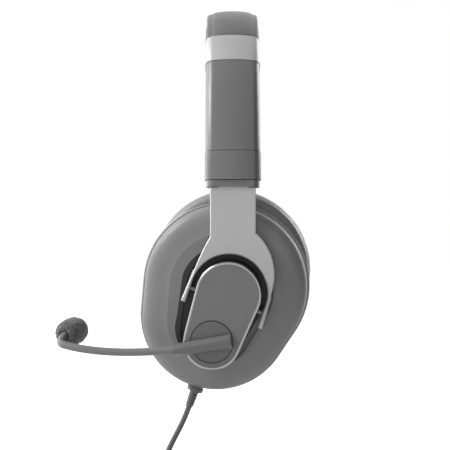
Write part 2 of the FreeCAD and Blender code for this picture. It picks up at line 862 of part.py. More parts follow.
def yoke_collar():
    body = body_on("Collar", Swivel)
    sketch = sketch_on(body, "CollarOutline", "Sizes.seam_gap", plane="XZ_Plane")
    half_w, half_d, r = "Sizes.collar_width / 2", "Sizes.collar_depth / 2", "Sizes.collar_corner"
    rounded_rectangle_on(sketch, half_w, half_d, r)
    pad(body, "CollarPad", sketch, "Sizes.collar_height - Sizes.seam_gap")
    bore = cylinder(
        "CollarBore", Swivel, "Sizes.swivel_pin_radius + Sizes.seat_gap", "Sizes.collar_height + 2",
        ("0", "-Sizes.collar_height - 1", "0"), axis="Y",
    )
    gap = "Sizes.tang_gap"
    width, thickness = f"Sizes.tang_width + 2 * {gap}", f"Sizes.arm_thickness + 2 * {gap}"
    slot = block(
        "TangSlot", Arm, (width, f"Sizes.tang_length + 1 + {gap}", thickness),
        (f"-({width}) / 2", "-1", f"-({thickness}) / 2"),
    )
    return cut("YokeCollar", body, fuse("CollarCuts", [bore, slot]))


def yoke():
    """The arm and the fork. The fork's legs stand out round the cover plate and slant with the cup."""
    body = body_on("Fork", Arm)
    pivot = V(s("pivot_back"), -s("arm_drop"), 0)
    slant = math.radians(s("slant"))
    across, along = V(math.cos(slant), -math.sin(slant), 0), V(math.sin(slant), math.cos(slant), 0)

    def at(side, up):
        """A point given across and along the slanted cup."""
        return pivot + across * side + along * up

    half = s("arm_width") / 2
    outer, low = s("leg_outer"), -s("leg_below_pivot")
    inner = outer - s("leg_width")
    arch, shoulder = s("pod_top"), -s("shoulder_drop")
    tang, up = s("tang_width") / 2, s("tang_length")
    waist = outer - s("leg_waist")
    left_neck = V(-half, shoulder - s("left_neck_low"), 0)
    right_neck = V(half, shoulder + s("right_neck_high"), 0)
    left_hip = at(s("left_hip_inset") - waist, s("left_hip_height"))
    right_hip = at(waist - s("right_hip_inset"), s("right_hip_height"))
    left_bow = (left_neck + left_hip) * 0.5 - V(s("left_bow_across"), s("left_bow_along"), 0)
    right_bow = at(s("right_bow_across"), s("right_bow_height"))
    corners = [right_neck, V(half, 0, 0), V(tang, 0, 0), V(tang, up, 0)]
    corners += [V(-tang, up, 0), V(-tang, 0, 0), V(-half, 0, 0), left_neck]
    left_leg = [left_hip, at(-outer, low), at(-inner, low), at(-inner, arch)]
    right_leg = [at(inner, arch), at(inner, low), at(outer, low), right_hip]
    pieces = [Part.Arc(left_neck, left_bow, left_hip), Part.Arc(right_hip, right_bow, right_neck)]
    pieces.append(Part.Arc(left_leg[-1], at(0, arch + inner), right_leg[0]))
    for run in (corners, left_leg, right_leg):
        pieces += [Part.LineSegment(one, other) for one, other in zip(run, run[1:])]
    sketch = sketch_on(body, "ForkOutline", "-Sizes.arm_thickness / 2")
    outline_on(sketch, pieces)
    last = pad(body, "ForkPad", sketch, "Sizes.arm_thickness")
    last = bevel_face(body, "ForkEdge", last, Z_AXIS, "Sizes.arm_edge")
    bars = sketch_on(body, "LegBars", "-Sizes.arm_thickness / 2")
    for side in (-1, 1):
        top = s("leg_bar_top")
        ends = [(inner, low), (outer, low), (outer - 0.6, top), (inner, top)]
        outline_on(bars, closed_lines([at(side * across, height) for across, height in ends]))
    pad(body, "LegPad", bars, "Sizes.leg_depth - Sizes.arm_thickness", back=True)
    bore = cylinder(
        "PivotBore", Pivot, "Sizes.pivot_pin_radius + Sizes.seat_gap", "2 * Sizes.leg_outer + 4",
        ("-Sizes.leg_outer - 2", "0", "0"), axis="X",
    )
    notch = cylinder(
        "PinNotch", Swivel, "Sizes.swivel_pin_radius + Sizes.seat_gap", "Sizes.collar_height + 0.1",
        ("0", "-Sizes.collar_height - 0.1", "0"), axis="Y",
    )
    return cut("Yoke", body, fuse("YokeCuts", [bore, notch]))


def swivel_pin():
    return cylinder(
        "SwivelPin", Swivel, "Sizes.swivel_pin_radius", "Sizes.collar_height + Sizes.swivel_pin_length",
        ("0", "-Sizes.collar_height", "0"), axis="Y",
    )


def pivot_pins():
    """Two short pins, fixed in the legs, that the cup tilts on."""
    made = []
    inner = "Sizes.pod_top_radius - Sizes.pod_wall - Sizes.pin_overrun"
    for index, start in enumerate((inner, "-Sizes.leg_outer")):
        made.append(
            cylinder(
                f"PivotPin{index}", Pivot, "Sizes.pivot_pin_radius", f"Sizes.leg_outer - ({inner})",
                (start, "0", "0"), axis="X",
            )
        )
    group = doc.addObject("Part::Compound", "PivotPins")
    group.Links = made
    return group


both_sides("yoke_collar", yoke_collar())
both_sides("yoke", yoke())
both_sides("swivel_pin", swivel_pin())
both_sides("pivot_pins", pivot_pins())


# Cups

POD = ("0", "Sizes.pod_top", "Sizes.pod_top_radius", "Sizes.pod_bottom", "Sizes.pod_bottom_radius")
MOAT = ("0", "Sizes.pod_top", "Sizes.moat_top_radius", "Sizes.moat_bottom", "Sizes.moat_bottom_radius")
SHELL, CUSHION, EAR = [
    ("Sizes.cup_back", *[f"Sizes.{name}_{end}" for end in ("top", "top_radius", "bottom", "bottom_radius")])
    for name in ("shell", "cushion", "ear")
]
BAFFLE_BACK = "-Sizes.shell_back_depth - Sizes.baffle_thickness"
RING_BACK = f"{BAFFLE_BACK} - Sizes.ring_thickness"
CUSHION_SEAT = f"{RING_BACK} - Sizes.cushion_gap"
MIDDLE_UP = "(Sizes.shell_top + Sizes.shell_bottom) / 2"


def oval_sketch(body, name, height, oval, grow="0"):
    return oval_sections(body, name, [(height, oval, grow)])[0]


def post_places():
    """The four cup screws stand at the corners of the baffle."""
    for side_x in (-1, 1):
        for side_y in (-1, 1):
            yield (
                f"Sizes.cup_back + {side_x} * Sizes.post_side_spread",
                f"{MIDDLE_UP} + {side_y} * Sizes.post_spread",
            )


def housing(name, with_lead):
    """The cup's shell: a domed face that steps down into a recess round a raised, hollow plinth."""
    body = body_on(name, Cup)
    rim, face = "-Sizes.shell_rim_depth", "-Sizes.shell_face_depth"
    back = "-Sizes.shell_back_depth"
    rings = oval_sections(
        body, name + "Dome",
        [
            (rim, SHELL, "0"),
            (f"{rim} + 1.3", SHELL, "-1.3"),
            (f"({rim} + {face}) / 2 + 1", SHELL, "-6"),
            (face, SHELL, "-13"),
        ],
    )
    loft(body, name + "Face", rings)
    walls = oval_sections(body, name + "Wall", [(back, SHELL, "Sizes.shell_flare"), (rim, SHELL, "0")])
    loft(body, name + "Side", walls, ruled=True)
    pocket(body, name + "Moat", oval_sketch(body, name + "MoatOutline", "0", MOAT), "Sizes.moat_depth")
    plinth = oval_sketch(body, name + "PlinthOutline", "-Sizes.moat_depth - 0.5", POD)
    pad(body, name + "Plinth", plinth, "Sizes.pod_height - Sizes.plate_thickness + Sizes.moat_depth + 0.5")
    wide = oval_sketch(body, name + "WideOutline", back, SHELL, "-Sizes.shell_wall")
    pocket(body, name + "Wide", wide, "Sizes.shell_back_depth - Sizes.shell_rim_depth - 1.6", back=True)
    deep = oval_sketch(body, name + "DeepOutline", back, SHELL, "-13")
    pocket(body, name + "Deep", deep, "Sizes.shell_back_depth - Sizes.shell_cavity_top", back=True)
    hollow = oval_sketch(body, name + "HollowOutline", back, POD, "-Sizes.pod_wall")
    pocket_all(body, name + "Hollow", hollow, back=True)
    pin = sketch_on(body, name + "PinHole", plane="YZ_Plane")
    circle_on(pin, "0", "0", "Sizes.pivot_pin_radius + Sizes.pivot_pin_clearance")
    pocket(body, name + "PinBore", pin, "2 * Sizes.pod_top_radius + 4", both=True)
    posts = sketch_on(body, name + "Posts", back)
    for x, y in post_places():
        circle_on(posts, x, y, "Sizes.post_radius")
    pad(body, name + "PostPad", posts, "Sizes.shell_back_depth - Sizes.shell_rim_depth - 1")
    holes = sketch_on(body, name + "PostHoles", back)
    for x, y in post_places():
        circle_on(holes, x, y, "Sizes.screw_radius + 0.02")
    pocket(body, name + "PostBores", holes, "Sizes.screw_length - Sizes.baffle_thickness + 0.5", back=True)
    if not with_lead:
        return body
    bore = cylinder(
        "GlandBore", Cup, "Sizes.gland_radius + Sizes.seat_gap", "Sizes.gland_length + 4",
        ("0", "Sizes.gland_foot - 0.5", "-Sizes.gland_depth"), axis="Y",
    )
    return cut(name + "Bored", body, bore)


def trim_ring():
    body = body_on("TrimRing", Cup)
    base = "Sizes.pod_height - Sizes.plate_thickness"
    ring = oval_sketch(body, "TrimOutline", base, POD)
    last = pad(body, "TrimPad", ring, "Sizes.plate_thickness")
    bevel_face(body, "TrimEdge", last, Z_AXIS, "Sizes.plate_edge")
    hole = oval_sketch(body, "TrimHole", base, POD, "-Sizes.trim_width")
    pocket_all(body, "TrimCut", hole, back=True)
    return body


def cover_plate(name, with_hub):
    body = body_on(name, Cup)
    base = "Sizes.pod_height - Sizes.plate_thickness"
    outline = oval_sketch(body, name + "Outline", base, POD, "-Sizes.trim_width - Sizes.trim_gap")
    pad(body, name + "Pad", outline, "Sizes.plate_thickness")
    if with_hub:
        recess = sketch_on(body, name + "Recess", "Sizes.pod_height")
        circle_on(recess, "0", "Sizes.pod_bottom", "Sizes.hub_radius + Sizes.hub_groove")
        pocket(body, name + "RecessCut", recess, "Sizes.hub_sink")
        bore = sketch_on(body, name + "Bore", "Sizes.pod_height")
        circle_on(bore, "0", "Sizes.pod_bottom", "Sizes.hub_shaft_radius + Sizes.hub_clearance")
        pocket_all(body, name + "BoreCut", bore)
    return body


def baffle():
    """The plate between the shell and the cushion. Its lip shows as a thin light line round the shell."""
    body = body_on("Baffle", Cup)
    outline = oval_sketch(body, "BaffleOutline", BAFFLE_BACK, SHELL, "Sizes.baffle_lip")
    last = pad(body, "BafflePad", outline, "Sizes.baffle_thickness")
    bevel_face(body, "BaffleEdge", last, Z_AXIS, "Sizes.plate_edge")
    hole = sketch_on(body, "DriverHole", BAFFLE_BACK)
    circle_on(hole, "Sizes.cup_back", "Sizes.driver_up", "Sizes.driver_radius + Sizes.driver_clearance")
    pocket_all(body, "DriverCut", hole, back=True)
    screws = sketch_on(body, "BaffleHoles", BAFFLE_BACK)
    for x, y in post_places():
        circle_on(screws, x, y, "Sizes.screw_radius + 0.1")
    pocket_all(body, "BaffleScrewCut", screws, back=True)
    sinks = sketch_on(body, "BaffleSinks", BAFFLE_BACK)
    for x, y in post_places():
        circle_on(sinks, x, y, "Sizes.screw_head_radius + 0.1")
    pocket(body, "BaffleSinkCut", sinks, "Sizes.baffle_thickness / 2", back=True)
    return body


def cup_screws():
    made = []
    for index, (x, y) in enumerate(post_places()):
        at = (x, y, BAFFLE_BACK)
        shank = cylinder(f"CupScrew{index}", Cup, "Sizes.screw_radius", "Sizes.screw_length", at)
        head_height = "Sizes.baffle_thickness / 2"
        head = cylinder(f"CupScrewHead{index}", Cup, "Sizes.screw_head_radius", head_height, at)
        made.append(fuse(f"CupScrewWhole{index}", [shank, head]))
    group = doc.addObject("Part::Compound", "CupScrews")
    group.Links = made
    return group


def driver_frame():
    """A stepped basket that holds the magnet behind the baffle."""
    body = body_on("DriverFrame", Cup, ("Sizes.cup_back", "Sizes.driver_up", BAFFLE_BACK))
    disc = sketch_on(body, "FrameDisc")
    circle_on(disc, "0", "0", "Sizes.driver_radius")
    pad(body, "FramePad", disc, "Sizes.driver_depth")
    neck = sketch_on(body, "FrameNeck")
    circle_on(neck, "0", "0", "Sizes.magnet_radius + 1.4")
    pad(body, "FrameNeckPad", neck, "Sizes.driver_depth + 1.2")
    bowl = sketch_on(body, "FrameBowl")
    circle_on(bowl, "0", "0", "Sizes.driver_radius - 1.6")
    pocket(body, "FrameBowlCut", bowl, "Sizes.driver_depth - 1", back=True)
    seat = sketch_on(body, "FrameSeat")
    circle_on(seat, "0", "0", "Sizes.magnet_radius - 1.5")
    pocket_all(body, "FrameSeatCut", seat, back=True)
    return body


def diaphragm():
    """A thin dome with a flat rim, revolved."""
    body = body_on("Diaphragm", Cup, ("Sizes.cup_back", "Sizes.driver_up", f"{BAFFLE_BACK} + 0.7"))
    sketch = sketch_on(body, "DiaphragmSection", plane="XZ_Plane")
    r, t, rise = s("diaphragm_radius"), s("diaphragm_thickness"), s("diaphragm_rise")
    foot = s("voice_coil_radius")
    radius = (foot**2 + rise**2) / (2 * rise)
    lean = math.asin(foot / radius) / 2
    middle = V(radius * math.sin(lean), rise - radius + radius * math.cos(lean), 0)
    outline_on(
        sketch,
        [
            Part.LineSegment(V(0, rise, 0), V(0, rise + t, 0)),
            Part.Arc(V(0, rise + t, 0), middle + V(0, t, 0), V(foot, t, 0)),
            Part.LineSegment(V(foot, t, 0), V(r, t, 0)),
            Part.LineSegment(V(r, t, 0), V(r, 0, 0)),
            Part.LineSegment(V(r, 0, 0), V(foot, 0, 0)),
            Part.Arc(V(foot, 0, 0), middle, V(0, rise, 0)),
        ],
    )
    feature(body, "Revolution", "DiaphragmTurn", sketch, ReferenceAxis=(sketch, ["V_Axis"]), Angle=360)
    return body


def grille():
    """The guard over the driver, with rings of round holes."""
    low = f"{BAFFLE_BACK} - Sizes.grille_thickness"
    body = body_on("Grille", Cup, ("Sizes.cup_back", "Sizes.driver_up", low))
    disc = sketch_on(body, "GrilleDisc")
    circle_on(disc, "0", "0", "Sizes.driver_radius + 1.5")
    pad(body, "GrillePad", disc, "Sizes.grille_thickness")
    doc.recompute()
    solid = body.Shape.Volume
    for ring, count in ((5.5, 6), (11.0, 12)):
        hole = sketch_on(body, f"GrilleHole{count}")
        circle_on(hole, str(ring), "0", "Sizes.grille_hole")
        first = pocket_all(body, f"GrilleCut{count}", hole, back=True)
        doc.recompute()
        pattern = body.newObject("PartDesign::PolarPattern", f"GrilleRing{count}")
        pattern.Originals = [first]
        pattern.Axis = (hole, ["N_Axis"])
        pattern.Angle = 360
        pattern.Occurrences = count
        body.Tip = pattern
        doc.recompute()
    if body.Shape.Volume > solid - 50:
        raise ValueError("the grille's holes cut nothing")
    return body


def cushion_ring():
    body = body_on("CushionRing", Cup)
    outline = oval_sketch(body, "RingOutline", RING_BACK, SHELL, "-0.5")
    pad(body, "RingPad", outline, "Sizes.ring_thickness")
    hole = oval_sketch(body, "RingHole", RING_BACK, EAR, "3")
    pocket_all(body, "RingCut", hole, back=True)
    return body


def round_edges(body, name, edges_of, direction, size):
    """Rounds the outer or the inner edges of the flat face that looks along a direction."""
    doc.recompute()
    shape = body.Tip.Shape
    face = shape.getElement(face_towards(shape, direction))

    def among(edge, others):
        return any(edge.isSame(other) for other in others)

    wanted = [edge for edge in face.Edges if among(edge, face.OuterWire.Edges) == (edges_of == "outer")]
    names = [f"Edge{index}" for index, edge in enumerate(shape.Edges, 1) if among(edge, wanted)]
    base = body.Tip
    made = body.newObject("PartDesign::Fillet", name)
    made.Base = (base, names)
    made.setExpression("Radius", size)
    doc.recompute()
    return made


def ear_cushion():
    """A puffed ring: its face rolls over into the outer side and into the opening for the ear."""
    body = body_on("EarCushion", Cup)
    outline = oval_sketch(body, "CushionOutline", CUSHION_SEAT, CUSHION)
    pad(body, "CushionPad", outline, "Sizes.cushion_thickness", back=True)
    opening = oval_sketch(body, "CushionOpening", CUSHION_SEAT, EAR)
    pocket_all(body, "CushionWell", opening)
    front = Z_AXIS * -1
    round_edges(body, "CushionRoll", "outer", front, "Sizes.cushion_roll")
    round_edges(body, "CushionInnerRoll", "inner", front, "Sizes.cushion_inner_roll")
    round_edges(body, "CushionBackRoll", "outer", Z_AXIS, "Sizes.cushion_back_roll")
    round_edges(body, "CushionSeatRoll", "inner", Z_AXIS, "Sizes.cushion_seat_roll")
    return body


left_housing = housing("LeftHousing", True)
keep("left_housing", left_housing)
mirrored("right_housing", housing("RightHousing", False))
both_sides("trim_ring", trim_ring())
keep("left_cover_plate", cover_plate("LeftPlate", True))
mirrored("right_cover_plate", cover_plate("RightPlate", False))
both_sides("baffle", baffle())
both_sides("cup_screws", cup_screws())
both_sides("driver_frame", driver_frame())
both_sides(
    "driver_magnet",
    cylinder(
        "DriverMagnet", Cup, "Sizes.magnet_radius", "Sizes.magnet_height",
        ("Sizes.cup_back", "Sizes.driver_up", f"{BAFFLE_BACK} + Sizes.driver_depth + 1.2"),
    ),
)
both_sides("diaphragm", diaphragm())
both_sides("driver_grille", grille())
both_sides("cushion_ring", cushion_ring())
both_sides("ear_cushion", ear_cushion())


# Routes: straight runs joined by tangent arcs


def rounded_route(points, straight_start=0.0):
    """The wire of a route, the radii of its arcs and its length."""
    edges, radii = [], []
    previous = points[0]
    for before, corner, after in zip(points, points[1:], points[2:]):
        first, second = corner - before, after - corner
        turn = first.getAngle(second)
        reach = 0.45 * min(first.Length, second.Length)
        radii.append(reach / math.tan(turn / 2))
        start = corner - V(first).normalize() * reach
        end = corner + V(second).normalize() * reach
        middle_direction = (V(second).normalize() - V(first).normalize()).normalize()
        radius = radii[-1]
        centre = corner + middle_direction * (radius / math.cos(turn / 2))
        middle = centre - middle_direction * radius
        edges.append(Part.LineSegment(previous, start).toShape())
        edges.append(Part.Arc(start, middle, end).toShape())
        previous = end
    edges.append(Part.LineSegment(previous, points[-1]).toShape())
    wire = Part.Wire(edges)
    return wire, radii, wire.Length


def tube_along(wire, radius):
    start = wire.OrderedEdges[0]
    direction = start.tangentAt(start.FirstParameter)
    ring = Part.Wire([Part.Circle(start.valueAt(start.FirstParameter), direction, radius).toShape()])
    solid = wire.makePipeShell([ring], True, False)
    expected = math.pi * radius**2 * wire.Length
    if abs(solid.Volume / expected - 1) > 0.01:
        raise ValueError(f"a tube holds {solid.Volume:.0f} where {expected:.0f} was expected")
    return solid


def shape_node(node, shape):
    made = doc.addObject("Part::Feature", node)
    made.Shape = shape
    return keep(node, made)


# Boom microphone, on the left cup only


HUB_LOW = "Sizes.hub_running_gap - Sizes.hub_sink"


def boom_hub():
    """The disc that turns in the cover plate, on a stepped shaft."""
    shaft_low = f"{HUB_LOW} - Sizes.hub_shaft_length"
    height = f"Sizes.hub_height - ({HUB_LOW})"
    disc = cylinder("HubDisc", Hub, "Sizes.hub_radius", height, ("0", "0", HUB_LOW))
    shaft = cylinder(
        "HubShaft", Hub, "Sizes.hub_shaft_radius", "Sizes.hub_shaft_length + 0.1", ("0", "0", shaft_low)
    )
    bore = cylinder(
        "HubScrewBore", Hub, "Sizes.hub_screw_radius + Sizes.seat_gap", "Sizes.hub_screw_length + 1",
        ("0", "0", f"{shaft_low} - 1"),
    )
    return cut("BoomHub", fuse("HubWhole", [disc, shaft]), bore)


def hub_screw():
    """The screw that holds the shaft, with its captive washer."""
    low = f"{HUB_LOW} - Sizes.hub_shaft_length - Sizes.washer_thickness"
    shank_length = "Sizes.hub_screw_length + Sizes.washer_thickness - 0.1"
    washer = cylinder("WasherDisc", Hub, "Sizes.washer_radius", "Sizes.washer_thickness", ("0", "0", low))
    shank = cylinder("HubScrewShank", Hub, "Sizes.hub_screw_radius", shank_length, ("0", "0", low))
    head_height = "Sizes.hub_screw_head_height"
    head = cylinder(
        "HubScrewHead", Hub, "Sizes.hub_screw_radius * 2", head_height, ("0", "0", f"{low} - {head_height}")
    )
    return fuse("HubScrew", [washer, shank, head])


def boom_arm():
    """A bar with bevelled upper edges that narrows towards the microphone."""
    body = body_on("BoomArm", Hub)
    base = "Sizes.hub_height"
    tail, reach = -s("bar_tail"), s("bar_reach")
    root, tip, middle = s("bar_root_width") / 2, s("bar_tip_width") / 2, s("bar_offset")
    top, bevel = s("bar_height"), s("bar_bevel")

    def section(name, x, half):
        sketch = body.newObject("Sketcher::SketchObject", name)
        support = [item for item in body.Origin.OriginFeatures if item.Role == "YZ_Plane"][0]
        sketch.AttachmentSupport = [(support, "")]
        sketch.MapMode = "FlatFace"
        sketch.AttachmentOffset = FreeCAD.Placement(V(0, 0, x), FreeCAD.Rotation())
        low = value(base)
        corners = [
            V(middle - half, low, 0), V(middle + half, low, 0), V(middle + half, low + top * 0.35, 0),
            V(middle + half - bevel, low + top, 0), V(middle - half + bevel * 1.3, low + top, 0),
            V(middle - half, low + top * 0.5, 0),
        ]
        outline_on(sketch, closed_lines(corners))
        return sketch

    loft(body, "BarLoft", [section("BarRoot", tail, root), section("BarTip", reach, tip)], ruled=True)
    return body


boom_points = [
    (16.5, 1.1, 0), (30.0, 0.0, 0), (43.5, -1.6, 0), (57.0, -4.3, 0), (68.0, -7.4, -0.8),
    (76.6, -10.6, -3.0), (74.6, -13.4, -7.6), (72.4, -13.6, -13.0),
]


def boom_route():
    height = s("hub_height") + s("tube_height")
    return [Hub.Placement.multVec(V(x, y, z + height)) for x, y, z in boom_points]


boom_wire, boom_radii, boom_length = rounded_route(boom_route())
print("boom tube radii", [round(radius, 1) for radius in boom_radii], "length", round(boom_length, 1))


def mic_axis():
    """Where the capsule sits: along the last run of the boom tube."""
    route = boom_route()
    direction = (route[-1] - route[-2]).normalize()
    return route[-1], direction


def axis_frame(name, origin, direction):
    side = direction.cross(Z_AXIS).normalize()
    return frame(name, FreeCAD.Placement(origin, axes(side, direction.cross(side), direction)))


mic_origin, mic_direction = mic_axis()
Mic = axis_frame("Mic", mic_origin, mic_direction)


CAN_LOW = "-Sizes.capsule_overlap"
CAN_TOP = "Sizes.capsule_length - Sizes.capsule_overlap"


def capsule_housing():
    """A short can on the end of the tube, open towards the mouth."""
    outer = cylinder("CapsuleOuter", Mic, "Sizes.capsule_radius", "Sizes.capsule_length", ("0", "0", CAN_LOW))
    bore = cylinder(
        "CapsuleBore", Mic, "Sizes.mic_radius + Sizes.mic_gap", "Sizes.mic_length + 1",
        ("0", "0", f"{CAN_TOP} - Sizes.mic_length - 0.3"),
    )
    seat = cylinder(
        "CapsuleSeat", Mic, "Sizes.tube_radius + Sizes.seat_gap", "Sizes.tube_seat",
        ("0", "0", "-Sizes.tube_seat"),
    )
    return cut("CapsuleHousing", outer, fuse("CapsuleCuts", [bore, seat]))


def mic_capsule():
    low = f"{CAN_TOP} - Sizes.mic_length - 0.2"
    return cylinder("MicCapsule", Mic, "Sizes.mic_radius", "Sizes.mic_length - 0.2", ("0", "0", low))


def windscreen():
    """A foam plug with a round nose and shoulder, its neck round the tube and its hollow round the can."""
    body = body_on("Windscreen", Mic, ("0", "0", "-Sizes.windscreen_back"))
    sketch = sketch_on(body, "WindscreenSection", plane="XZ_Plane")
    r, length = s("windscreen_radius"), s("windscreen_length")
    inner = s("capsule_radius") + s("windscreen_wall_gap")
    neck = s("tube_radius") + s("windscreen_wall_gap")
    neck_depth = s("windscreen_neck")
    depth = s("capsule_length") + s("windscreen_hollow_past")
    shoulder, nose = s("windscreen_shoulder"), s("windscreen_nose")
    nose_middle = nose * (1 - math.sqrt(0.5))
    outline_on(
        sketch,
        [
            Part.LineSegment(V(inner, neck_depth, 0), V(neck, neck_depth, 0)),
            Part.LineSegment(V(neck, neck_depth, 0), V(neck, 0, 0)),
            Part.LineSegment(V(neck, 0, 0), V(r - shoulder + 1.6, 0, 0)),
            Part.Arc(V(r - shoulder + 1.6, 0, 0), V(r - 0.6, 1.5, 0), V(r, shoulder, 0)),
            Part.LineSegment(V(r, shoulder, 0), V(r, length - nose, 0)),
            Part.Arc(
                V(r, length - nose, 0), V(r - nose_middle, length - nose_middle, 0), V(r - nose, length, 0)
            ),
            Part.LineSegment(V(r - nose, length, 0), V(0, length, 0)),
            Part.LineSegment(V(0, length, 0), V(0, depth, 0)),
            Part.LineSegment(V(0, depth, 0), V(inner, depth, 0)),
            Part.LineSegment(V(inner, depth, 0), V(inner, neck_depth, 0)),
        ],
    )
    feature(body, "Revolution", "WindscreenTurn", sketch, ReferenceAxis=(sketch, ["V_Axis"]), Angle=360)
    return body


keep("boom_hub", boom_hub())
keep("boom_screw", hub_screw())
bar_socket = shape_node("BoomTubeSocket", tube_along(boom_wire, s("tube_radius") + s("seat_gap")))
del NODES["BoomTubeSocket"]
keep("boom_arm", cut("BoomArmBored", boom_arm(), bar_socket))
shape_node("boom_tube", tube_along(boom_wire, s("tube_radius")))
keep("capsule_housing", capsule_housing())
keep("mic_capsule", mic_capsule())
keep("windscreen", windscreen())


# Lead

relief_top = Cup.Placement.multVec(V(0, s("gland_foot"), -s("gland_depth")))
relief_down = Cup.Placement.Rotation.multVec(V(0, -1, 0))
Relief = axis_frame("Relief", relief_top, relief_down)
keep(
    "cable_gland",
    fuse(
        "CableGland",
        [
            cylinder(
                "GlandBody", Relief, "Sizes.gland_radius", "Sizes.gland_length",
                ("0", "0", "-Sizes.gland_length"),
            ),
            cylinder("GlandLip", Relief, "Sizes.gland_radius + Sizes.gland_flange", "Sizes.gland_lip"),
        ],
    ),
)
relief = doc.addObject("Part::Cone", "StrainRelief")
relief.setExpression("Radius1", "Sizes.relief_radius")
relief.setExpression("Radius2", "Sizes.relief_tip_radius")
relief.setExpression("Height", "Sizes.relief_length")
place_on(relief, Relief, ("0", "0", "Sizes.gland_lip"))
keep("strain_relief", relief)

lead_start = relief_top + relief_down * (s("gland_lip") + s("relief_length"))
# The lead's points below the strain relief, as steps from its start.
lead_steps = [
    (0.4, -5.2, -12.0), (0.6, -9.6, -20.2), (-0.3, -13.2, -29.0), (-0.9, -14.6, -38.5), (-0.9, -14.7, -47.0),
]
lead_points = [lead_start, lead_start + relief_down * 5.0]
lead_points += [lead_start + V(*step) for step in lead_steps]


COIL_STEPS = 16
COIL_SIDES = 6


def coil_point(turn, start):
    """A point of the coil, whose turns wind in and out again in layers."""
    per_layer = s("coil_turns_per_layer")
    pitch = s("coil_pitch")
    total = s("coil_layers") * per_layer
    turn = min(max(turn, 0.0), total)
    layer = min(int(turn / per_layer), int(s("coil_layers")) - 1)
    share = (turn - layer * per_layer) / per_layer
    inward = share if layer % 2 == 0 else 1 - share
    radius = s("coil_radius") + pitch * per_layer * (0.5 - inward)
    across = layer * pitch
    climb = 0.25
    for edge in range(1, int(s("coil_layers"))):
        ahead = turn - edge * per_layer + climb
        if 0 < ahead < 2 * climb:
            across = (edge - 1) * pitch + pitch * (1 - math.cos(math.pi * ahead / (2 * climb))) / 2
    angle = 2 * math.pi * turn
    return start + V(across, -radius * math.cos(angle), -radius * math.sin(angle))


def coil_path_points(centre, start):
    """The points of the coil's middle line and the direction at each."""
    total = s("coil_layers") * s("coil_turns_per_layer")
    steps = int(total * COIL_STEPS)
    small = 1e-4
    down = V(0, 0, -1)
    marks = [total * index / steps for index in range(steps + 1)]
    points = [coil_point(mark, centre) for mark in marks]
    ways = []
    for mark in marks:
        ways.append((coil_point(mark + small, centre) - coil_point(mark - small, centre)).normalize())
    ways[0] = ways[-1] = down
    tail = points[-1] + down * 2 * s("lead_radius")
    return [start] + points + [tail], [down] + ways + [down]


def faceted_tube(points, ways, radius):
    """One closed solid with flat-sided walls round a path, its sections turned as little as they can be."""
    side = ways[0].cross(X_AXIS).normalize()
    rings = []
    for point, way in zip(points, ways):
        side = (side - way * side.dot(way)).normalize()
        other = way.cross(side)
        ring = []
        for index in range(COIL_SIDES):
            angle = 2 * math.pi * (index + 0.5) / COIL_SIDES
            ring.append(point + (side * math.cos(angle) + other * math.sin(angle)) * radius)
        rings.append(ring)
    faces = [Part.Face(Part.makePolygon(ring + ring[:1])) for ring in (rings[0], rings[-1])]
    for one, other in zip(rings, rings[1:]):
        for index in range(COIL_SIDES):
            after = (index + 1) % COIL_SIDES
            for third, fourth in ((one[after], other[after]), (other[after], other[index])):
                faces.append(Part.Face(Part.makePolygon([one[index], third, fourth, one[index]])))
    return Part.makeSolid(Part.makeShell(faces))


def least_gap(path, radius):
    """The least gap from the tube to itself, measured between points that are half a turn or more apart."""
    spacing = 1.5
    points = path.discretize(Distance=spacing)
    skip = int(math.pi * s("coil_radius") / spacing)
    least = 1e9
    for index, point in enumerate(points):
        for other in points[index + skip:]:
            least = min(least, point.distanceToPoint(other))
    return least - 2 * radius


widest_turn = s("coil_radius") + s("coil_pitch") * s("coil_turns_per_layer") / 2
coil_top = lead_points[-1]
coil_centre = coil_top + V(0, widest_turn, -2 * s("lead_radius"))
lead_wire, lead_radii, lead_length = rounded_route(lead_points)
coil_points, coil_ways = coil_path_points(coil_centre, coil_top)
coil_end = coil_points[-1]
coil_path = Part.makePolygon(coil_points)
print("lead radii", [round(radius, 1) for radius in lead_radii], "drop length", round(lead_length, 1))
print("coil length", round(coil_path.Length, 1), "gap", round(least_gap(coil_path, s("lead_radius")), 2))
shape_node("cord_drop", tube_along(lead_wire, s("lead_radius")))
shape_node("cord_coil", faceted_tube(coil_points, coil_ways, s("lead_radius")))

Plug = axis_frame("Plug", coil_end, V(0, 0.0001, -1).normalize())
keep(
    "jack_plug",
    fuse(
        "JackPlug",
        [
            cylinder("PlugNeck", Plug, "Sizes.plug_neck_radius", "Sizes.plug_neck_length"),
            cylinder(
                "PlugGrip", Plug, "Sizes.plug_radius", "Sizes.plug_length - Sizes.plug_neck_length",
                ("0", "0", "Sizes.plug_neck_length"),
            ),
        ],
    ),
)
jack_body = "Sizes.jack_length - Sizes.jack_tip_length"
keep(
    "jack_pin",
    fuse(
        "JackPin",
        [
            cylinder("JackShaft", Plug, "Sizes.jack_radius", jack_body, ("0", "0", "Sizes.plug_length")),
            cylinder(
                "JackTip", Plug, "Sizes.jack_radius * 0.7", "Sizes.jack_tip_length",
                ("0", "0", f"Sizes.plug_length + {jack_body}"),
            ),
        ],
    ),
)


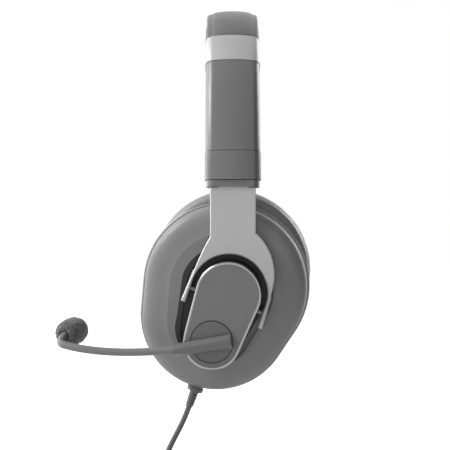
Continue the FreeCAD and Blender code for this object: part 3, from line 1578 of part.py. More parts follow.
def cord_tie():
    """A band round all the turns at the top of the coil."""
    layers, turns = s("coil_layers"), s("coil_turns_per_layer")
    thick = 2 * s("lead_radius")
    inner_x = (layers - 1) * s("coil_pitch") + thick + 2 * s("tie_gap")
    inner_z = turns * s("coil_pitch") + thick + 2 * s("tie_gap")
    wall, width = s("tie_wall"), s("tie_width")
    middle = coil_centre + V((layers - 1) * s("coil_pitch") / 2, 0, s("coil_radius"))

    def box_about(x, y, z):
        return Part.makeBox(x, y, z, V(-x / 2, -y / 2, -z / 2))

    ring = box_about(inner_x + 2 * wall, width, inner_z + 2 * wall)
    ring = ring.cut(box_about(inner_x, width + 2, inner_z))
    ring.translate(middle)
    return ring


shape_node("cord_tie", cord_tie())


# Check and write

doc.recompute()
for item in doc.Objects:
    if "Invalid" in item.State or "Error" in item.State:
        raise ValueError(f"{item.Name} failed: {item.State}")
os.makedirs("parts", exist_ok=True)
for node, item in NODES.items():
    shape = item.Shape
    if shape.isNull() or not shape.isValid():
        raise ValueError(f"{node} has no valid shape")
    shape.exportStep(f"parts/{node}.step")
print(len(NODES), "nodes")
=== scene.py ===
import json
import math

import bmesh
import bpy
from mathutils import Matrix, Vector, noise


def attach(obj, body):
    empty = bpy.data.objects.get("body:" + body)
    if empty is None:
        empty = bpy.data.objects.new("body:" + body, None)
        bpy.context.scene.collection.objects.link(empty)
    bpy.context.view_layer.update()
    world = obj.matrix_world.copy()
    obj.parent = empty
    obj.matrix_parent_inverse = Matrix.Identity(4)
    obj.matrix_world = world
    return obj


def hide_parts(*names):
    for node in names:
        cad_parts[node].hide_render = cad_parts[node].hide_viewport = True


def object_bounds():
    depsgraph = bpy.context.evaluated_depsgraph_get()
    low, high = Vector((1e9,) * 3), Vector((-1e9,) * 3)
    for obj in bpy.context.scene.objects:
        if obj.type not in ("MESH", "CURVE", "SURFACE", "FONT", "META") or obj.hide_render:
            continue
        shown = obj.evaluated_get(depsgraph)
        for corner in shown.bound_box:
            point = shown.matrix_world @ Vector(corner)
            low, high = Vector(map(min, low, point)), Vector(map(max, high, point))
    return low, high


# Over-ear headset with a boom microphone. Everything is in metres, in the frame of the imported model.

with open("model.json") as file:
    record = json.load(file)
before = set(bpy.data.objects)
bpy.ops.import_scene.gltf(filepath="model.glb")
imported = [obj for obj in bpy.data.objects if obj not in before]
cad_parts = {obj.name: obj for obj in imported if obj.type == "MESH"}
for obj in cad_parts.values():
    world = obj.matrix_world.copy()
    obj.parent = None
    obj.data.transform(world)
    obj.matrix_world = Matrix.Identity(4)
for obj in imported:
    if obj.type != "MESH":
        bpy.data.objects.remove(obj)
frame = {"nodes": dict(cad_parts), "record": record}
cad_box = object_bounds()
MM = 0.001
joints = {joint["name"]: joint for joint in frame["record"]["behaviour"]["joints"]}


# Places that the frame gives


def matrix_of(x, y, z, origin):
    made = Matrix((x, y, z)).transposed().to_4x4()
    made.translation = origin
    return made


cup_x = Vector(joints["left_cup_tilt"]["axis"]).normalized()
cup_z = -Vector(joints["boom_turn"]["axis"]).normalized()
cup_y = cup_z.cross(cup_x).normalized()
CUP = matrix_of(cup_x, cup_y, cup_z, Vector(joints["left_cup_tilt"]["pos_m"]))
MIRROR = Matrix.Scale(-1, 4, (1, 0, 0))


# Mesh helpers

LEAST_RADIUS = 1e-6


def add_mesh(name, points, faces):
    mesh = bpy.data.meshes.new(name)
    mesh.from_pydata([tuple(point) for point in points], [], faces)
    mesh.update()
    mesh.polygons.foreach_set("use_smooth", [True] * len(mesh.polygons))
    made = bpy.data.objects.new(name, mesh)
    bpy.context.scene.collection.objects.link(made)
    return made


def grid(name, rows, close_rows=False, place=None, mirrored=False):
    """A skin over closed rings of points. The first and last rings get caps or join up."""
    place = place or Matrix.Identity(4)
    if mirrored:
        place = MIRROR @ place
    count = len(rows[0])
    points = [place @ Vector(point) for row in rows for point in row]
    faces = []
    last = len(rows) if close_rows else len(rows) - 1
    for i in range(last):
        a, b = i * count, ((i + 1) % len(rows)) * count
        for j in range(count):
            k = (j + 1) % count
            faces.append((a + j, a + k, b + k, b + j))
    if not close_rows:
        faces.append(tuple(range(count - 1, -1, -1)))
        faces.append(tuple(range((len(rows) - 1) * count, len(rows) * count)))
    made = add_mesh(name, points, faces)
    work = bmesh.new()
    work.from_mesh(made.data)
    bmesh.ops.recalc_face_normals(work, faces=work.faces)
    work.to_mesh(made.data)
    work.free()
    return made


def lathe(name, profile, place, around=48):
    """Turns a profile of (radius, height) about the Z axis of a place."""
    turns = [2 * math.pi * k / around for k in range(around)]
    rows = []
    for radius, height in profile:
        ring = max(radius, LEAST_RADIUS)
        rows.append([(ring * math.cos(turn), ring * math.sin(turn), height) for turn in turns])
    return grid(name, rows, place=place)


def smooth_more(piece, levels=1):
    step = piece.modifiers.new("smooth", "SUBSURF")
    step.levels = step.render_levels = levels


def place_along(origin, way):
    side = way.cross(Vector((0, 0, 1))).normalized()
    return matrix_of(side, way.cross(side), way, origin)


# Materials

def new_material(name, colour, roughness, metallic=0.0, **sockets):
    made = bpy.data.materials.new(name)
    made.use_nodes = True
    shader = made.node_tree.nodes["Principled BSDF"]
    shader.inputs["Base Color"].default_value = (*colour, 1)
    shader.inputs["Roughness"].default_value = roughness
    shader.inputs["Metallic"].default_value = metallic
    for key, setting in sockets.items():
        shader.inputs[key.replace("_", " ")].default_value = setting
    return made, made.node_tree.nodes, made.node_tree.links, shader


def texture(nodes, links, kind, scale, stretch=(1, 1, 1), **settings):
    where = nodes.new("ShaderNodeTexCoord")
    map_node = nodes.new("ShaderNodeMapping")
    map_node.inputs["Scale"].default_value = stretch
    made = nodes.new("ShaderNodeTex" + kind)
    made.inputs["Scale"].default_value = scale
    for key, setting in settings.items():
        made.inputs[key].default_value = setting
    links.new(where.outputs["Object"], map_node.inputs["Vector"])
    links.new(map_node.outputs["Vector"], made.inputs["Vector"])
    return made


def vary_roughness(nodes, links, shader, source, low, high):
    made = nodes.new("ShaderNodeMapRange")
    made.inputs["To Min"].default_value = low
    made.inputs["To Max"].default_value = high
    links.new(source, made.inputs["Value"])
    links.new(made.outputs["Result"], shader.inputs["Roughness"])


def vary_colour(nodes, links, shader, source, colour, spread):
    mix = nodes.new("ShaderNodeMix")
    mix.data_type = "RGBA"
    mix.inputs["A"].default_value = (*[c * (1 - spread) for c in colour], 1)
    mix.inputs["B"].default_value = (*[min(c * (1 + spread), 1) for c in colour], 1)
    links.new(source, mix.inputs["Factor"])
    links.new(mix.outputs["Result"], shader.inputs["Base Color"])


def bump(nodes, links, shader, sources, distance, strength=1.0):
    """Adds up the heights of several textures and bends the surface by them."""
    total = None
    for source, share in sources:
        scaled = nodes.new("ShaderNodeMath")
        scaled.operation = "MULTIPLY"
        scaled.inputs[1].default_value = share
        links.new(source, scaled.inputs[0])
        if total is None:
            total = scaled.outputs[0]
            continue
        both = nodes.new("ShaderNodeMath")
        links.new(total, both.inputs[0])
        links.new(scaled.outputs[0], both.inputs[1])
        total = both.outputs[0]
    made = nodes.new("ShaderNodeBump")
    made.inputs["Distance"].default_value = distance
    made.inputs["Strength"].default_value = strength
    links.new(total, made.inputs["Height"])
    links.new(made.outputs["Normal"], shader.inputs["Normal"])


def plastic(name, colour, roughness, grain=0.02, gloss=0.5):
    """Moulded plastic with a fine spark-eroded grain and slight unevenness in its gloss."""
    made, nodes, links, shader = new_material(name, colour, roughness, Specular_IOR_Level=gloss)
    fine = texture(nodes, links, "Noise", 2600, Detail=3)
    broad = texture(nodes, links, "Noise", 45, Detail=4)
    vary_colour(nodes, links, shader, broad.outputs["Fac"], colour, 0.05)
    vary_roughness(nodes, links, shader, broad.outputs["Fac"], roughness - 0.04, roughness + 0.05)
    bump(nodes, links, shader, [(fine.outputs["Fac"], 1)], grain * MM)
    return made


def metal(name, colour, roughness, stretch=(1, 1, 1), metallic=1.0):
    """Satin metal with fine scratches."""
    made, nodes, links, shader = new_material(name, colour, roughness, metallic)
    fine = texture(nodes, links, "Noise", 1500, stretch, Detail=4)
    broad = texture(nodes, links, "Noise", 60, Detail=3)
    vary_colour(nodes, links, shader, broad.outputs["Fac"], colour, 0.04)
    vary_roughness(nodes, links, shader, fine.outputs["Fac"], roughness - 0.06, roughness + 0.08)
    bump(nodes, links, shader, [(fine.outputs["Fac"], 1)], 0.004 * MM)
    return made


def leatherette(name, colour, roughness=0.5):
    """Soft leatherette: pebbled grain, faint creases and a slight sheen."""
    sheen = {"Sheen_Weight": 0.15, "Sheen_Roughness": 0.4}
    made, nodes, links, shader = new_material(name, colour, roughness, **sheen)
    pebbles = texture(nodes, links, "Voronoi", 900)
    fine = texture(nodes, links, "Noise", 2200, Detail=4)
    creases = texture(nodes, links, "Noise", 140, Detail=6, Distortion=0.6)
    vary_colour(nodes, links, shader, creases.outputs["Fac"], colour, 0.10)
    vary_roughness(nodes, links, shader, pebbles.outputs["Distance"], roughness - 0.07, roughness + 0.10)
    heights = [
        (pebbles.outputs["Distance"], 0.9),
        (fine.outputs["Fac"], 0.3),
        (creases.outputs["Fac"], 0.7),
    ]
    bump(nodes, links, shader, heights, 0.10 * MM)
    return made


def foam(name, colour):
    """Open-cell foam."""
    made, nodes, links, shader = new_material(name, colour, 0.95, Sheen_Weight=0.3, Sheen_Roughness=0.6)
    cells = texture(nodes, links, "Voronoi", 1500)
    fine = texture(nodes, links, "Noise", 2500, Detail=4)
    vary_colour(nodes, links, shader, cells.outputs["Distance"], colour, 0.35)
    bump(nodes, links, shader, [(cells.outputs["Distance"], 1), (fine.outputs["Fac"], 0.4)], 0.35 * MM)
    return made


def woven(name, colour):
    """Woven tape."""
    made, nodes, links, shader = new_material(name, colour, 0.85, Sheen_Weight=0.25)
    warp = texture(nodes, links, "Wave", 900, (0, 1, 1), Distortion=0.6)
    weft = texture(nodes, links, "Noise", 1800, Detail=3)
    vary_colour(nodes, links, shader, weft.outputs["Fac"], colour, 0.25)
    bump(nodes, links, shader, [(warp.outputs["Fac"], 1), (weft.outputs["Fac"], 0.5)], 0.12 * MM)
    return made


MATERIALS = {
    "band_leatherette": leatherette("band_leatherette", (0.105, 0.105, 0.108), 0.48),
    "cushion_leatherette": leatherette("cushion_leatherette", (0.19, 0.19, 0.193), 0.46),
    "spring_steel": metal("spring_steel", (0.52, 0.52, 0.53), 0.32, (1, 1, 12)),
    "satin_silver": metal("satin_silver", (0.40, 0.40, 0.405), 0.48, (1, 1, 1), 0.30),
    "dark_plastic": plastic("dark_plastic", (0.055, 0.055, 0.057), 0.42),
    "cover_plastic": plastic("cover_plastic", (0.14, 0.14, 0.142), 0.36),
    "shell_plastic": plastic("shell_plastic", (0.20, 0.20, 0.203), 0.42, gloss=0.3),
    "plate_plastic": plastic("plate_plastic", (0.165, 0.165, 0.168), 0.45, gloss=0.35),
    "baffle_plastic": plastic("baffle_plastic", (0.26, 0.26, 0.265), 0.38),
    "hub_plastic": plastic("hub_plastic", (0.10, 0.10, 0.102), 0.40),
    "trim_metal": metal("trim_metal", (0.24, 0.24, 0.245), 0.28),
    "screw_steel": metal("screw_steel", (0.10, 0.10, 0.102), 0.36),
    "magnet_metal": metal("magnet_metal", (0.40, 0.40, 0.41), 0.35),
    "diaphragm_film": plastic("diaphragm_film", (0.32, 0.33, 0.34), 0.22),
    "boom_rubber": plastic("boom_rubber", (0.16, 0.16, 0.162), 0.55, 0.01),
    "windscreen_foam": foam("windscreen_foam", (0.07, 0.07, 0.071)),
    "cord_rubber": plastic("cord_rubber", (0.075, 0.075, 0.077), 0.45, 0.008),
    "jack_chrome": metal("jack_chrome", (0.60, 0.60, 0.61), 0.24),
    "tie_fabric": woven("tie_fabric", (0.05, 0.05, 0.052)),
}


# How far behind its pivot the cup's outlines are centred
CUP_BACK = -2.7 * MM
# Height and radius of the recess's upper circle, then of its lower one, in millimetres
RECESS = (4.0, 22.6, -17.0, 18.4)
# Near-black colour that paints the recess's shade into the housing's base colour
RECESS_PAINTED_SHADE = (0.012, 0.012, 0.012, 1)


def paint_recess_shade(made):
    """Paints shade into the recess round the cover plate as a near-black base colour. The recess's
    outline is the hull of two circles.
    """
    nodes, links = made.node_tree.nodes, made.node_tree.links
    shader = nodes["Principled BSDF"]

    def calculate(kind, *inputs):
        step = nodes.new("ShaderNodeMath")
        step.operation = kind
        for socket, given in zip(step.inputs, inputs):
            if isinstance(given, float):
                socket.default_value = given
            else:
                links.new(given, socket)
        return step.outputs[0]

    where, parts = nodes.new("ShaderNodeTexCoord"), nodes.new("ShaderNodeSeparateXYZ")
    both_cups = nodes.new("ShaderNodeCombineXYZ")
    links.new(where.outputs["Object"], parts.inputs[0])
    links.new(calculate("ABSOLUTE", parts.outputs["X"]), both_cups.inputs["X"])
    links.new(parts.outputs["Y"], both_cups.inputs["Y"])
    links.new(parts.outputs["Z"], both_cups.inputs["Z"])
    to_cup, local = nodes.new("ShaderNodeMapping"), nodes.new("ShaderNodeSeparateXYZ")
    back = CUP.inverted()
    to_cup.inputs["Location"].default_value = back.translation
    to_cup.inputs["Rotation"].default_value = back.to_euler()
    links.new(both_cups.outputs[0], to_cup.inputs["Vector"])
    links.new(to_cup.outputs["Vector"], local.inputs[0])
    top, top_radius, bottom, bottom_radius = [size * MM for size in RECESS]
    radius = nodes.new("ShaderNodeMapRange")
    limits = {"From Min": bottom, "From Max": top, "To Min": bottom_radius, "To Max": top_radius}
    for key, setting in limits.items():
        radius.inputs[key].default_value = setting
    links.new(local.outputs["Y"], radius.inputs["Value"])
    nearest = calculate("MAXIMUM", calculate("MINIMUM", local.outputs["Y"], top), bottom)
    across = calculate("POWER", calculate("SUBTRACT", local.outputs["X"], CUP_BACK), 2.0)
    along = calculate("POWER", calculate("SUBTRACT", local.outputs["Y"], nearest), 2.0)
    distance = calculate("SQRT", calculate("ADD", across, along))
    inside = calculate("LESS_THAN", distance, radius.outputs["Result"])
    old = shader.inputs["Base Color"].links[0].from_socket
    mix = nodes.new("ShaderNodeMix")
    mix.data_type = "RGBA"
    mix.inputs["B"].default_value = RECESS_PAINTED_SHADE
    links.new(inside, mix.inputs["Factor"])
    links.new(old, mix.inputs["A"])
    links.new(mix.outputs["Result"], shader.inputs["Base Color"])


# The black in the recess round the cover plate is painted shade, not a black part
paint_recess_shade(MATERIALS["shell_plastic"])

for entry in frame["record"]["subparts"]:
    piece = frame["nodes"][entry["node"]]
    piece.data.materials.clear()
    piece.data.materials.append(MATERIALS[entry["material_slot"]])


def finish_piece(piece, body, slot, *nodes):
    piece.data.materials.append(MATERIALS[slot])
    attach(piece, body)
    if nodes:
        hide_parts(*nodes)
    return piece


# Camera and lights

camera_data = bpy.data.cameras.new("camera")
camera_data.sensor_width = 36
camera_data.lens = 104.2
camera = bpy.data.objects.new("camera", camera_data)
camera_place = Vector((0.735, -0.004, 0.032))
camera.matrix_world = matrix_of(Vector((0, 1, 0)), Vector((0, 0, 1)), Vector((1, 0, 0)), camera_place)
bpy.context.scene.collection.objects.link(camera)
bpy.context.scene.camera = camera
bpy.context.scene.view_settings.view_transform = "Standard"


def area_light(name, place, target, size, power):
    data = bpy.data.lights.new(name, "AREA")
    data.size = size
    data.energy = power
    made = bpy.data.objects.new(name, data)
    made.location = place
    made.rotation_euler = (Vector(target) - Vector(place)).to_track_quat("-Z", "Y").to_euler()
    bpy.context.scene.collection.objects.link(made)


area_light("key", (0.38, -1.15, 0.95), (0.06, 0, 0.02), 0.6, 26)
area_light("fill", (1.4, -0.3, 0.3), (0.06, 0, 0.03), 0.9, 2.0)
area_light("left_rim", (-0.45, -1.2, 0.25), (0.04, 0, 0.04), 1.0, 13)
area_light("right_rim", (-0.75, 1.05, 0.6), (0.04, 0, 0.04), 0.8, 14)


def seen_directly(nodes, links):
    """1 for the rays that show the backdrop itself: from the camera, in a reflection or through glass."""
    path = nodes.new("ShaderNodeLightPath")
    total = path.outputs["Is Camera Ray"]
    for kind in ("Is Glossy Ray", "Is Transmission Ray"):
        most = nodes.new("ShaderNodeMath")
        most.operation = "MAXIMUM"
        links.new(total, most.inputs[0])
        links.new(path.outputs[kind], most.inputs[1])
        total = most.outputs[0]
    return total


SKY_STRENGTH = 0.24
world = bpy.data.worlds.new("studio")
bpy.context.scene.world = world
world.use_nodes = True
sky, sky_links = world.node_tree.nodes, world.node_tree.links
plain, white, sky_mix = sky["Background"], sky.new("ShaderNodeBackground"), sky.new("ShaderNodeMixShader")
plain.inputs["Color"].default_value = (1, 1, 1, 1)
plain.inputs["Strength"].default_value = SKY_STRENGTH
white.inputs["Color"].default_value = (1, 1, 1, 1)
white.inputs["Strength"].default_value = 1.0
sky_links.new(seen_directly(sky, sky_links), sky_mix.inputs[0])
sky_links.new(plain.outputs[0], sky_mix.inputs[1])
sky_links.new(white.outputs[0], sky_mix.inputs[2])
sky_links.new(sky_mix.outputs[0], sky["World Output"].inputs["Surface"])

# A black card beside the object, which the camera doesn't see, keeps the right-hand surfaces dark
card_corners = [(0.1, 0.5, -0.14), (1.2, 0.5, -0.14), (1.2, 0.7, 1.1), (0.1, 0.7, 1.1)]
card = add_mesh("card", card_corners, [(0, 1, 2, 3)])
card.data.materials.append(new_material("card", (0.01, 0.01, 0.01), 1.0)[0])
card.visible_camera = False

FLOOR_DROP, FLOOR_REACH, FLOOR_GLOW = 0.004, 6, 0.85
floor_z = cad_box[0][2] - FLOOR_DROP
square = ((-1, -1), (1, -1), (1, 1), (-1, 1))
floor_corners = [(x * FLOOR_REACH, y * FLOOR_REACH, floor_z) for x, y in square]
floor = add_mesh("floor", floor_corners, [(0, 1, 2, 3)])
floor_material, floor_nodes, floor_links, floor_shader = new_material("floor", (0.60, 0.60, 0.60), 0.9)
floor_shader.inputs["Emission Color"].default_value = (1, 1, 1, 1)
glow = floor_nodes.new("ShaderNodeMath")
glow.operation = "MULTIPLY"
glow.inputs[1].default_value = FLOOR_GLOW
floor_links.new(seen_directly(floor_nodes, floor_links), glow.inputs[0])
floor_links.new(glow.outputs[0], floor_shader.inputs["Emission Strength"])
floor.data.materials.append(floor_material)


# Lead: one spline down from the strain relief and round the tied coil

GLAND_FOOT, GLAND_DEPTH, GLAND_LIP, RELIEF_LENGTH = -50.2 * MM, 11.7 * MM, 1.7 * MM, 9.0 * MM
LEAD_RADIUS = 1.5 * MM
relief_top = CUP @ Vector((0, GLAND_FOOT, -GLAND_DEPTH))
relief_down = -cup_y
lead_start = relief_top + relief_down * (GLAND_LIP + RELIEF_LENGTH)
LEAD_STEPS = [
    (0.4, -5.2, -12.0),
    (0.6, -9.6, -20.2),
    (-0.3, -13.2, -29.0),
    (-0.9, -14.6, -38.5),
    (-0.9, -14.7, -47.0),
]
lead_points = [lead_start, lead_start + relief_down * 5 * MM]
lead_points += [lead_start + Vector(step) * MM for step in LEAD_STEPS]

COIL_RADIUS, COIL_PITCH = 17.5 * MM, 3.5 * MM
COIL_LAYERS, TURNS_PER_LAYER, POINTS_PER_TURN = 4, 3, 16
CLIMB = 0.25


def coil_point(turn, centre):
    """The turns wind in and out again, layer by layer."""
    turn = min(max(turn, 0.0), COIL_LAYERS * TURNS_PER_LAYER)
    layer = min(int(turn / TURNS_PER_LAYER), COIL_LAYERS - 1)
    share = (turn - layer * TURNS_PER_LAYER) / TURNS_PER_LAYER
    inward = share if layer % 2 == 0 else 1 - share
    radius = COIL_RADIUS + COIL_PITCH * TURNS_PER_LAYER * (0.5 - inward)
    across = layer * COIL_PITCH
    for edge in range(1, COIL_LAYERS):
        ahead = turn - edge * TURNS_PER_LAYER + CLIMB
        if 0 < ahead < 2 * CLIMB:
            climbed = (1 - math.cos(math.pi * ahead / (2 * CLIMB))) / 2
            across = (edge - 1) * COIL_PITCH + COIL_PITCH * climbed
    angle = 2 * math.pi * turn
    return centre + Vector((across, -radius * math.cos(angle), -radius * math.sin(angle)))


widest_turn = COIL_RADIUS + COIL_PITCH * TURNS_PER_LAYER / 2
coil_centre = lead_points[-1] + Vector((0, widest_turn, -2 * LEAD_RADIUS))
turn_steps = COIL_LAYERS * TURNS_PER_LAYER * POINTS_PER_TURN
coil_points = [coil_point(step / POINTS_PER_TURN, coil_centre) for step in range(turn_steps + 1)]
coil_end = coil_points[-1] + Vector((0, 0, -2 * LEAD_RADIUS))


def spline_piece(name, points, radius):
    curve = bpy.data.curves.new(name, "CURVE")
    curve.dimensions = "3D"
    line = curve.splines.new("NURBS")
    line.points.add(len(points) - 1)
    for point, place in zip(line.points, points):
        point.co = (*place, 1)
    line.order_u = 3
    line.use_endpoint_u = True
    curve.resolution_u = 3
    curve.bevel_depth = radius
    curve.bevel_resolution = 4
    curve.use_fill_caps = True
    made = bpy.data.objects.new(name, curve)
    bpy.context.scene.collection.objects.link(made)
    return made


lead = spline_piece("lead", lead_points + coil_points + [coil_end], LEAD_RADIUS)
finish_piece(lead, "left_cup", "cord_rubber", "cord_drop", "cord_coil")


# Plug, tie and strain relief

PLUG = place_along(coil_end, Vector((0, 0.0001, -1)).normalized())


def plug_profile():
    neck = [(0, 0), (1.9, 0), (2.2, 0.3)]
    for ring in range(3):
        base = 0.8 + ring * 1.6
        neck += [(2.5, base), (2.5, base + 0.9), (2.1, base + 1.0), (2.1, base + 1.5)]
    grip = [(2.6, 5.9), (3.6, 6.1), (4.1, 6.6), (4.2, 7.4)]
    for ring in range(4):
        base = 9.0 + ring * 1.3
        grip += [(4.2, base), (3.95, base + 0.2), (3.95, base + 0.5), (4.2, base + 0.7)]
    return neck + grip + [(4.2, 18.6), (4.0, 19.5), (3.6, 19.95), (0, 19.95)]


def jack_profile():
    sleeve = [(0, 20), (1.75, 20), (1.75, 24.4), (1.70, 24.45), (1.70, 25.2), (1.75, 25.25)]
    ring = [(1.75, 28.2), (1.70, 28.25), (1.70, 29.0), (1.75, 29.05), (1.75, 30.9)]
    tip = [(1.3, 31.6), (1.3, 31.9), (1.72, 32.6), (1.5, 33.2), (0.7, 33.95), (0, 34)]
    return sleeve + ring + tip


def scaled(profile):
    return [(radius * MM, height * MM) for radius, height in profile]


plug = lathe("plug_grip", scaled(plug_profile()), PLUG)
finish_piece(plug, "left_cup", "dark_plastic", "jack_plug")
jack = lathe("plug_contacts", scaled(jack_profile()), PLUG)
finish_piece(jack, "left_cup", "jack_chrome", "jack_pin")

TIE_WIDTH, TIE_WALL, TIE_GAP, TIE_TIGHTER = 6 * MM, 1 * MM, 0.35 * MM, 0.6 * MM


def steepened(share):
    """Steepens a cosine or a sine, so that it stays at 1 along a straight side."""
    return math.copysign(min(abs(share) * 3, 1), share)


def tie_rows():
    """A rounded band round the turns, with the free end of its tape lying on top."""
    half_x = ((COIL_LAYERS - 1) * COIL_PITCH + 2 * LEAD_RADIUS) / 2 + TIE_GAP
    half_z = (TURNS_PER_LAYER * COIL_PITCH + 2 * LEAD_RADIUS) / 2 - TIE_TIGHTER
    corner = 1.6 * MM
    rows = []
    count = 64
    for step in range(count):
        angle = 2 * math.pi * step / count
        way = Vector((math.cos(angle), 0, math.sin(angle)))
        reach = Vector((half_x - corner, 0, half_z - corner))
        core = Vector((steepened(way.x) * reach.x, 0, steepened(way.z) * reach.z))
        ring = []
        for depth, across in ((0, -1), (0.8, -1), (1, -0.8), (1, 0.8), (0.8, 1), (0, 1), (0, 0)):
            point = core + way * (corner + depth * TIE_WALL)
            ring.append(point + Vector((0, across * TIE_WIDTH / 2, 0)))
        rows.append(ring)
    return rows


tie_middle = coil_centre + Vector(((COIL_LAYERS - 1) * COIL_PITCH / 2, 0, COIL_RADIUS))
tie = grid("lead_tie", tie_rows(), close_rows=True, place=Matrix.Translation(tie_middle))
finish_piece(tie, "left_cup", "tie_fabric", "cord_tie")

RELIEF = place_along(relief_top, relief_down)
RELIEF_SEAT, RELIEF_END = GLAND_LIP + 0.02 * MM, GLAND_LIP + RELIEF_LENGTH
RELIEF_RADIUS, RELIEF_TAPER, END_RADIUS = 2.4 * MM, 0.3 * MM, 1.9 * MM
RIBS, RIB_START, RIB_PITCH, RIB_DEPTH = 5, 0.6 * MM, 1.6 * MM, 0.35 * MM
relief_rings = [(0, RELIEF_SEAT), (RELIEF_RADIUS, RELIEF_SEAT)]
for rib in range(RIBS):
    start = GLAND_LIP + RIB_START + rib * RIB_PITCH
    crest = RELIEF_RADIUS - RELIEF_TAPER * (rib + 0.5) / RIBS
    foot = crest - RIB_DEPTH
    relief_rings += [(crest, start), (crest, start + 1.0 * MM)]
    relief_rings += [(foot, start + 1.1 * MM), (foot, start + 1.5 * MM)]
relief_rings += [(END_RADIUS, RELIEF_END), (0, RELIEF_END)]
finish_piece(lathe("lead_relief", relief_rings, RELIEF), "left_cup", "cord_rubber", "strain_relief")


# Ear cushions

OUTER = (12.6 * MM, 41.5 * MM, -13.6 * MM, 40.0 * MM)
EAR = (8.0 * MM, 21.5 * MM, -10.0 * MM, 20.5 * MM)
CUSHION_SEAT, CUSHION_THICKNESS = -19.5 * MM, 21.0 * MM
ARC_STEPS, SIDE_STEPS = 44, 8


def oval(top, top_radius, bottom, bottom_radius):
    """Points round the hull of two circles, the same number for every oval."""

    def at(centre, radius, angle):
        return Vector((CUP_BACK + radius * math.cos(angle), centre + radius * math.sin(angle), 0))

    lean = math.asin((bottom_radius - top_radius) / (top - bottom))
    points = []
    for centre, radius, start, end in (
        (top, top_radius, lean, math.pi - lean),
        (bottom, bottom_radius, math.pi - lean, 2 * math.pi + lean),
    ):
        for step in range(ARC_STEPS + 1):
            points.append(at(centre, radius, start + (end - start) * step / ARC_STEPS))
        low = at(bottom, bottom_radius, end) if centre == top else points[0]
        last = points[-1]
        points += [last.lerp(low, step / SIDE_STEPS) for step in range(1, SIDE_STEPS)]
    return points


def rounded(share, power):
    """Bends a cosine or a sine towards a square section."""
    return math.copysign(abs(share) ** power, share)


def bell(place, centre, width):
    return math.exp(-(((place - centre) / width) ** 2))


def cushion_section(steps=40):
    """Shares of the width and the depth round the section, full at the face and squarer at the seat."""
    ring = []
    for step in range(steps):
        angle = 2 * math.pi * step / steps
        c, d = math.cos(angle), math.sin(angle)
        power = 2 / (2.5 if d > 0 else 4.5)
        ring.append((0.5 + 0.5 * rounded(c, power), 0.5 + 0.5 * rounded(d, power)))
    return ring


def ear_cushion(name, mirrored):
    inner, outer = oval(*EAR), oval(*OUTER)
    section = cushion_section()
    inset = 0.35 * MM
    rows = []
    for index, (near, far) in enumerate(zip(inner, outer)):
        turn = 2 * math.pi * index / len(inner)
        out = (far - near).normalized()
        row = []
        for share, depth in section:
            point = near.lerp(far, share) + out * inset * (1 - 2 * share)
            height = CUSHION_SEAT - inset - (CUSHION_THICKNESS - 2 * inset) * depth
            seam = bell(depth, 0.16, 0.035) if share > 0.7 else 0.0
            mouth = bell(depth, 0.72, 0.05) if share < 0.25 else 0.0
            ripple = noise.noise(Vector((math.cos(turn) * 9, math.sin(turn) * 9, 3.1 + depth * 2)))
            gather = 0.5 + 0.5 * math.sin(turn * 46 + 2.5 * ripple)
            pull = (0.8 * seam + 0.9 * mouth) * MM
            soft = 0.35 * MM * (ripple - 0.3) * (1 if depth > 0.3 else 0.2)
            tucks = 0.30 * MM * gather * bell(share, 0.12, 0.16) * (1 if depth > 0.5 else 0)
            point = point - out * (pull * (1 if share > 0.5 else -1))
            point += out * min(soft, 0) * (1 if share > 0.5 else -1)
            row.append((point.x, point.y, height + tucks))
        rows.append(row)
    piece = grid(name, rows, close_rows=True, place=CUP, mirrored=mirrored)
    smooth_more(piece)
    return piece


for side, mirrored in (("left", False), ("right", True)):
    cushion = ear_cushion(f"{side}_ear_pad", mirrored)
    finish_piece(cushion, f"{side}_cup", "cushion_leatherette", f"{side}_ear_cushion")


# Headband wrap and pad

CROWN = Vector((0, 0, 84 * MM))
CROWN_RADIUS, WRAP_ANGLE = 68 * MM, 45
COVER_DEPTH, HALF_BAND, PAD_DEPTH, PAD_HALF = 7 * MM, 14 * MM, 8.5 * MM, 15 * MM
BAND_CROWN = 62 * MM


def on_crown(angle, radius, across):
    turn = math.radians(angle)
    return CROWN + Vector((radius * math.sin(turn), across, radius * math.cos(turn)))


def wrap_section(steps=44):
    """Shares of the width and the depth round the wrap, which has a full outside and a flat underside."""
    ring = []
    for step in range(steps):
        angle = 2 * math.pi * step / steps
        c, d = math.cos(angle), math.sin(angle)
        power = 2 / (3.6 if d > 0 else 6.0)
        ring.append((rounded(c, power), rounded(d, power)))
    return ring


def band_wrap():
    inset = 0.15 * MM
    rows = []
    steps = 72
    for step in range(steps + 1):
        share = 2 * step / steps - 1
        angle = share * WRAP_ANGLE
        end = max(0.0, (abs(share) - 0.965) / 0.035)
        tuck = 0.9 * MM * end**2
        row = []
        for across, high in wrap_section():
            y = across * (HALF_BAND - inset - tuck * 0.6)
            crown = BAND_CROWN - math.sqrt(BAND_CROWN**2 - y**2)
            top = CROWN_RADIUS - inset - crown - tuck
            low = CROWN_RADIUS - COVER_DEPTH + inset
            height = (top + low) / 2 + high * (top - low) / 2
            ripple = noise.noise(Vector((angle * 0.16, across * 1.5, high)))
            groove = 0.5 * MM * bell(abs(across), 0.82, 0.05) if high > 0 else 0
            row.append(on_crown(angle, height + 0.15 * MM * min(ripple, 0) - groove, y))
        rows.append(row)
    piece = grid("band_wrap", rows)
    smooth_more(piece)
    return piece


finish_piece(band_wrap(), "headband", "band_leatherette", "headband_cover")


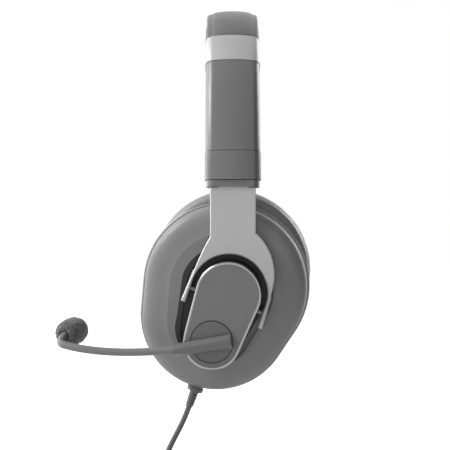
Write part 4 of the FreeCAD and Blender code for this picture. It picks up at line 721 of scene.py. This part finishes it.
def band_pad():
    """A long cushion: full along its middle, drawn in along both edges and closed at its ends."""
    rows = []
    steps, around = 84, 40
    limit = WRAP_ANGLE - 2
    channels = (-28, -14, 0, 14, 28)
    for step in range(steps + 1):
        share = 2 * step / steps - 1
        angle = share * (limit - 0.3)
        end = math.sqrt(max(0.0, 1 - max(0.0, (abs(share) - 0.88) / 0.12) ** 2))
        end = max(end, 0.05)
        sewn = sum(bell(angle, channel, 1.3) for channel in channels)
        top = CROWN_RADIUS - COVER_DEPTH - 0.45 * MM
        row = []
        for k in range(around):
            turn = 2 * math.pi * k / around
            c, d = math.cos(turn), math.sin(turn)
            across = rounded(c, 2 / 2.6)
            high = rounded(d, 2 / (2.2 if d < 0 else 6))
            ripple = noise.noise(Vector((angle * 0.25, across * 2.2, 7.7)))
            half = (PAD_HALF - 0.4 * MM) * (0.86 + 0.14 * end) - 0.5 * MM * sewn
            deep = (PAD_DEPTH - 0.4 * MM) * (0.25 + 0.75 * end) - 1.1 * MM * min(sewn, 1)
            height = top - deep / 2 + high * deep / 2
            if high < 0:
                height += 0.35 * MM * abs(ripple)
            row.append(on_crown(angle, height, across * half))
        rows.append(row)
    piece = grid("band_pad", rows)
    smooth_more(piece)
    return piece


pad = band_pad()
finish_piece(pad, "headband", "band_leatherette", "headband_cushion")


# Microphone foam

MIC_ORIGIN = Vector((66.865, -83.664, -23.368)) * MM
MIC_WAY = Vector((-0.89216, 0.41463, 0.17926)).normalized()
MIC = place_along(MIC_ORIGIN, MIC_WAY)


def foam_ball():
    radius, length, low = 7.3, 17.5, -5.5
    back = [(2.3, 2.2), (2.3, 0.1), (3.2, 0), (4.7, 0.1), (5.9, 0.9), (6.8, 2.2), (7.2, 4.2)]
    front = [(radius, 7), (radius, 9.5), (7.1, 11.9), (6.3, 14.2), (4.9, 16.1), (2.9, 17.2), (0, length)]
    profile = [(across, low + height) for across, height in back + front]
    piece = lathe("mic_foam", scaled(profile), MIC, 40)
    smooth_more(piece, 3)
    cells = bpy.data.textures.new("foam_cells", "VORONOI")
    cells.noise_scale = 1.6 * MM
    step = piece.modifiers.new("cells", "DISPLACE")
    step.texture = cells
    step.texture_coords = "LOCAL"
    step.strength = -0.5 * MM
    step.mid_level = 0.0
    return piece


foam_piece = finish_piece(foam_ball(), "mic_boom", "windscreen_foam", "windscreen")
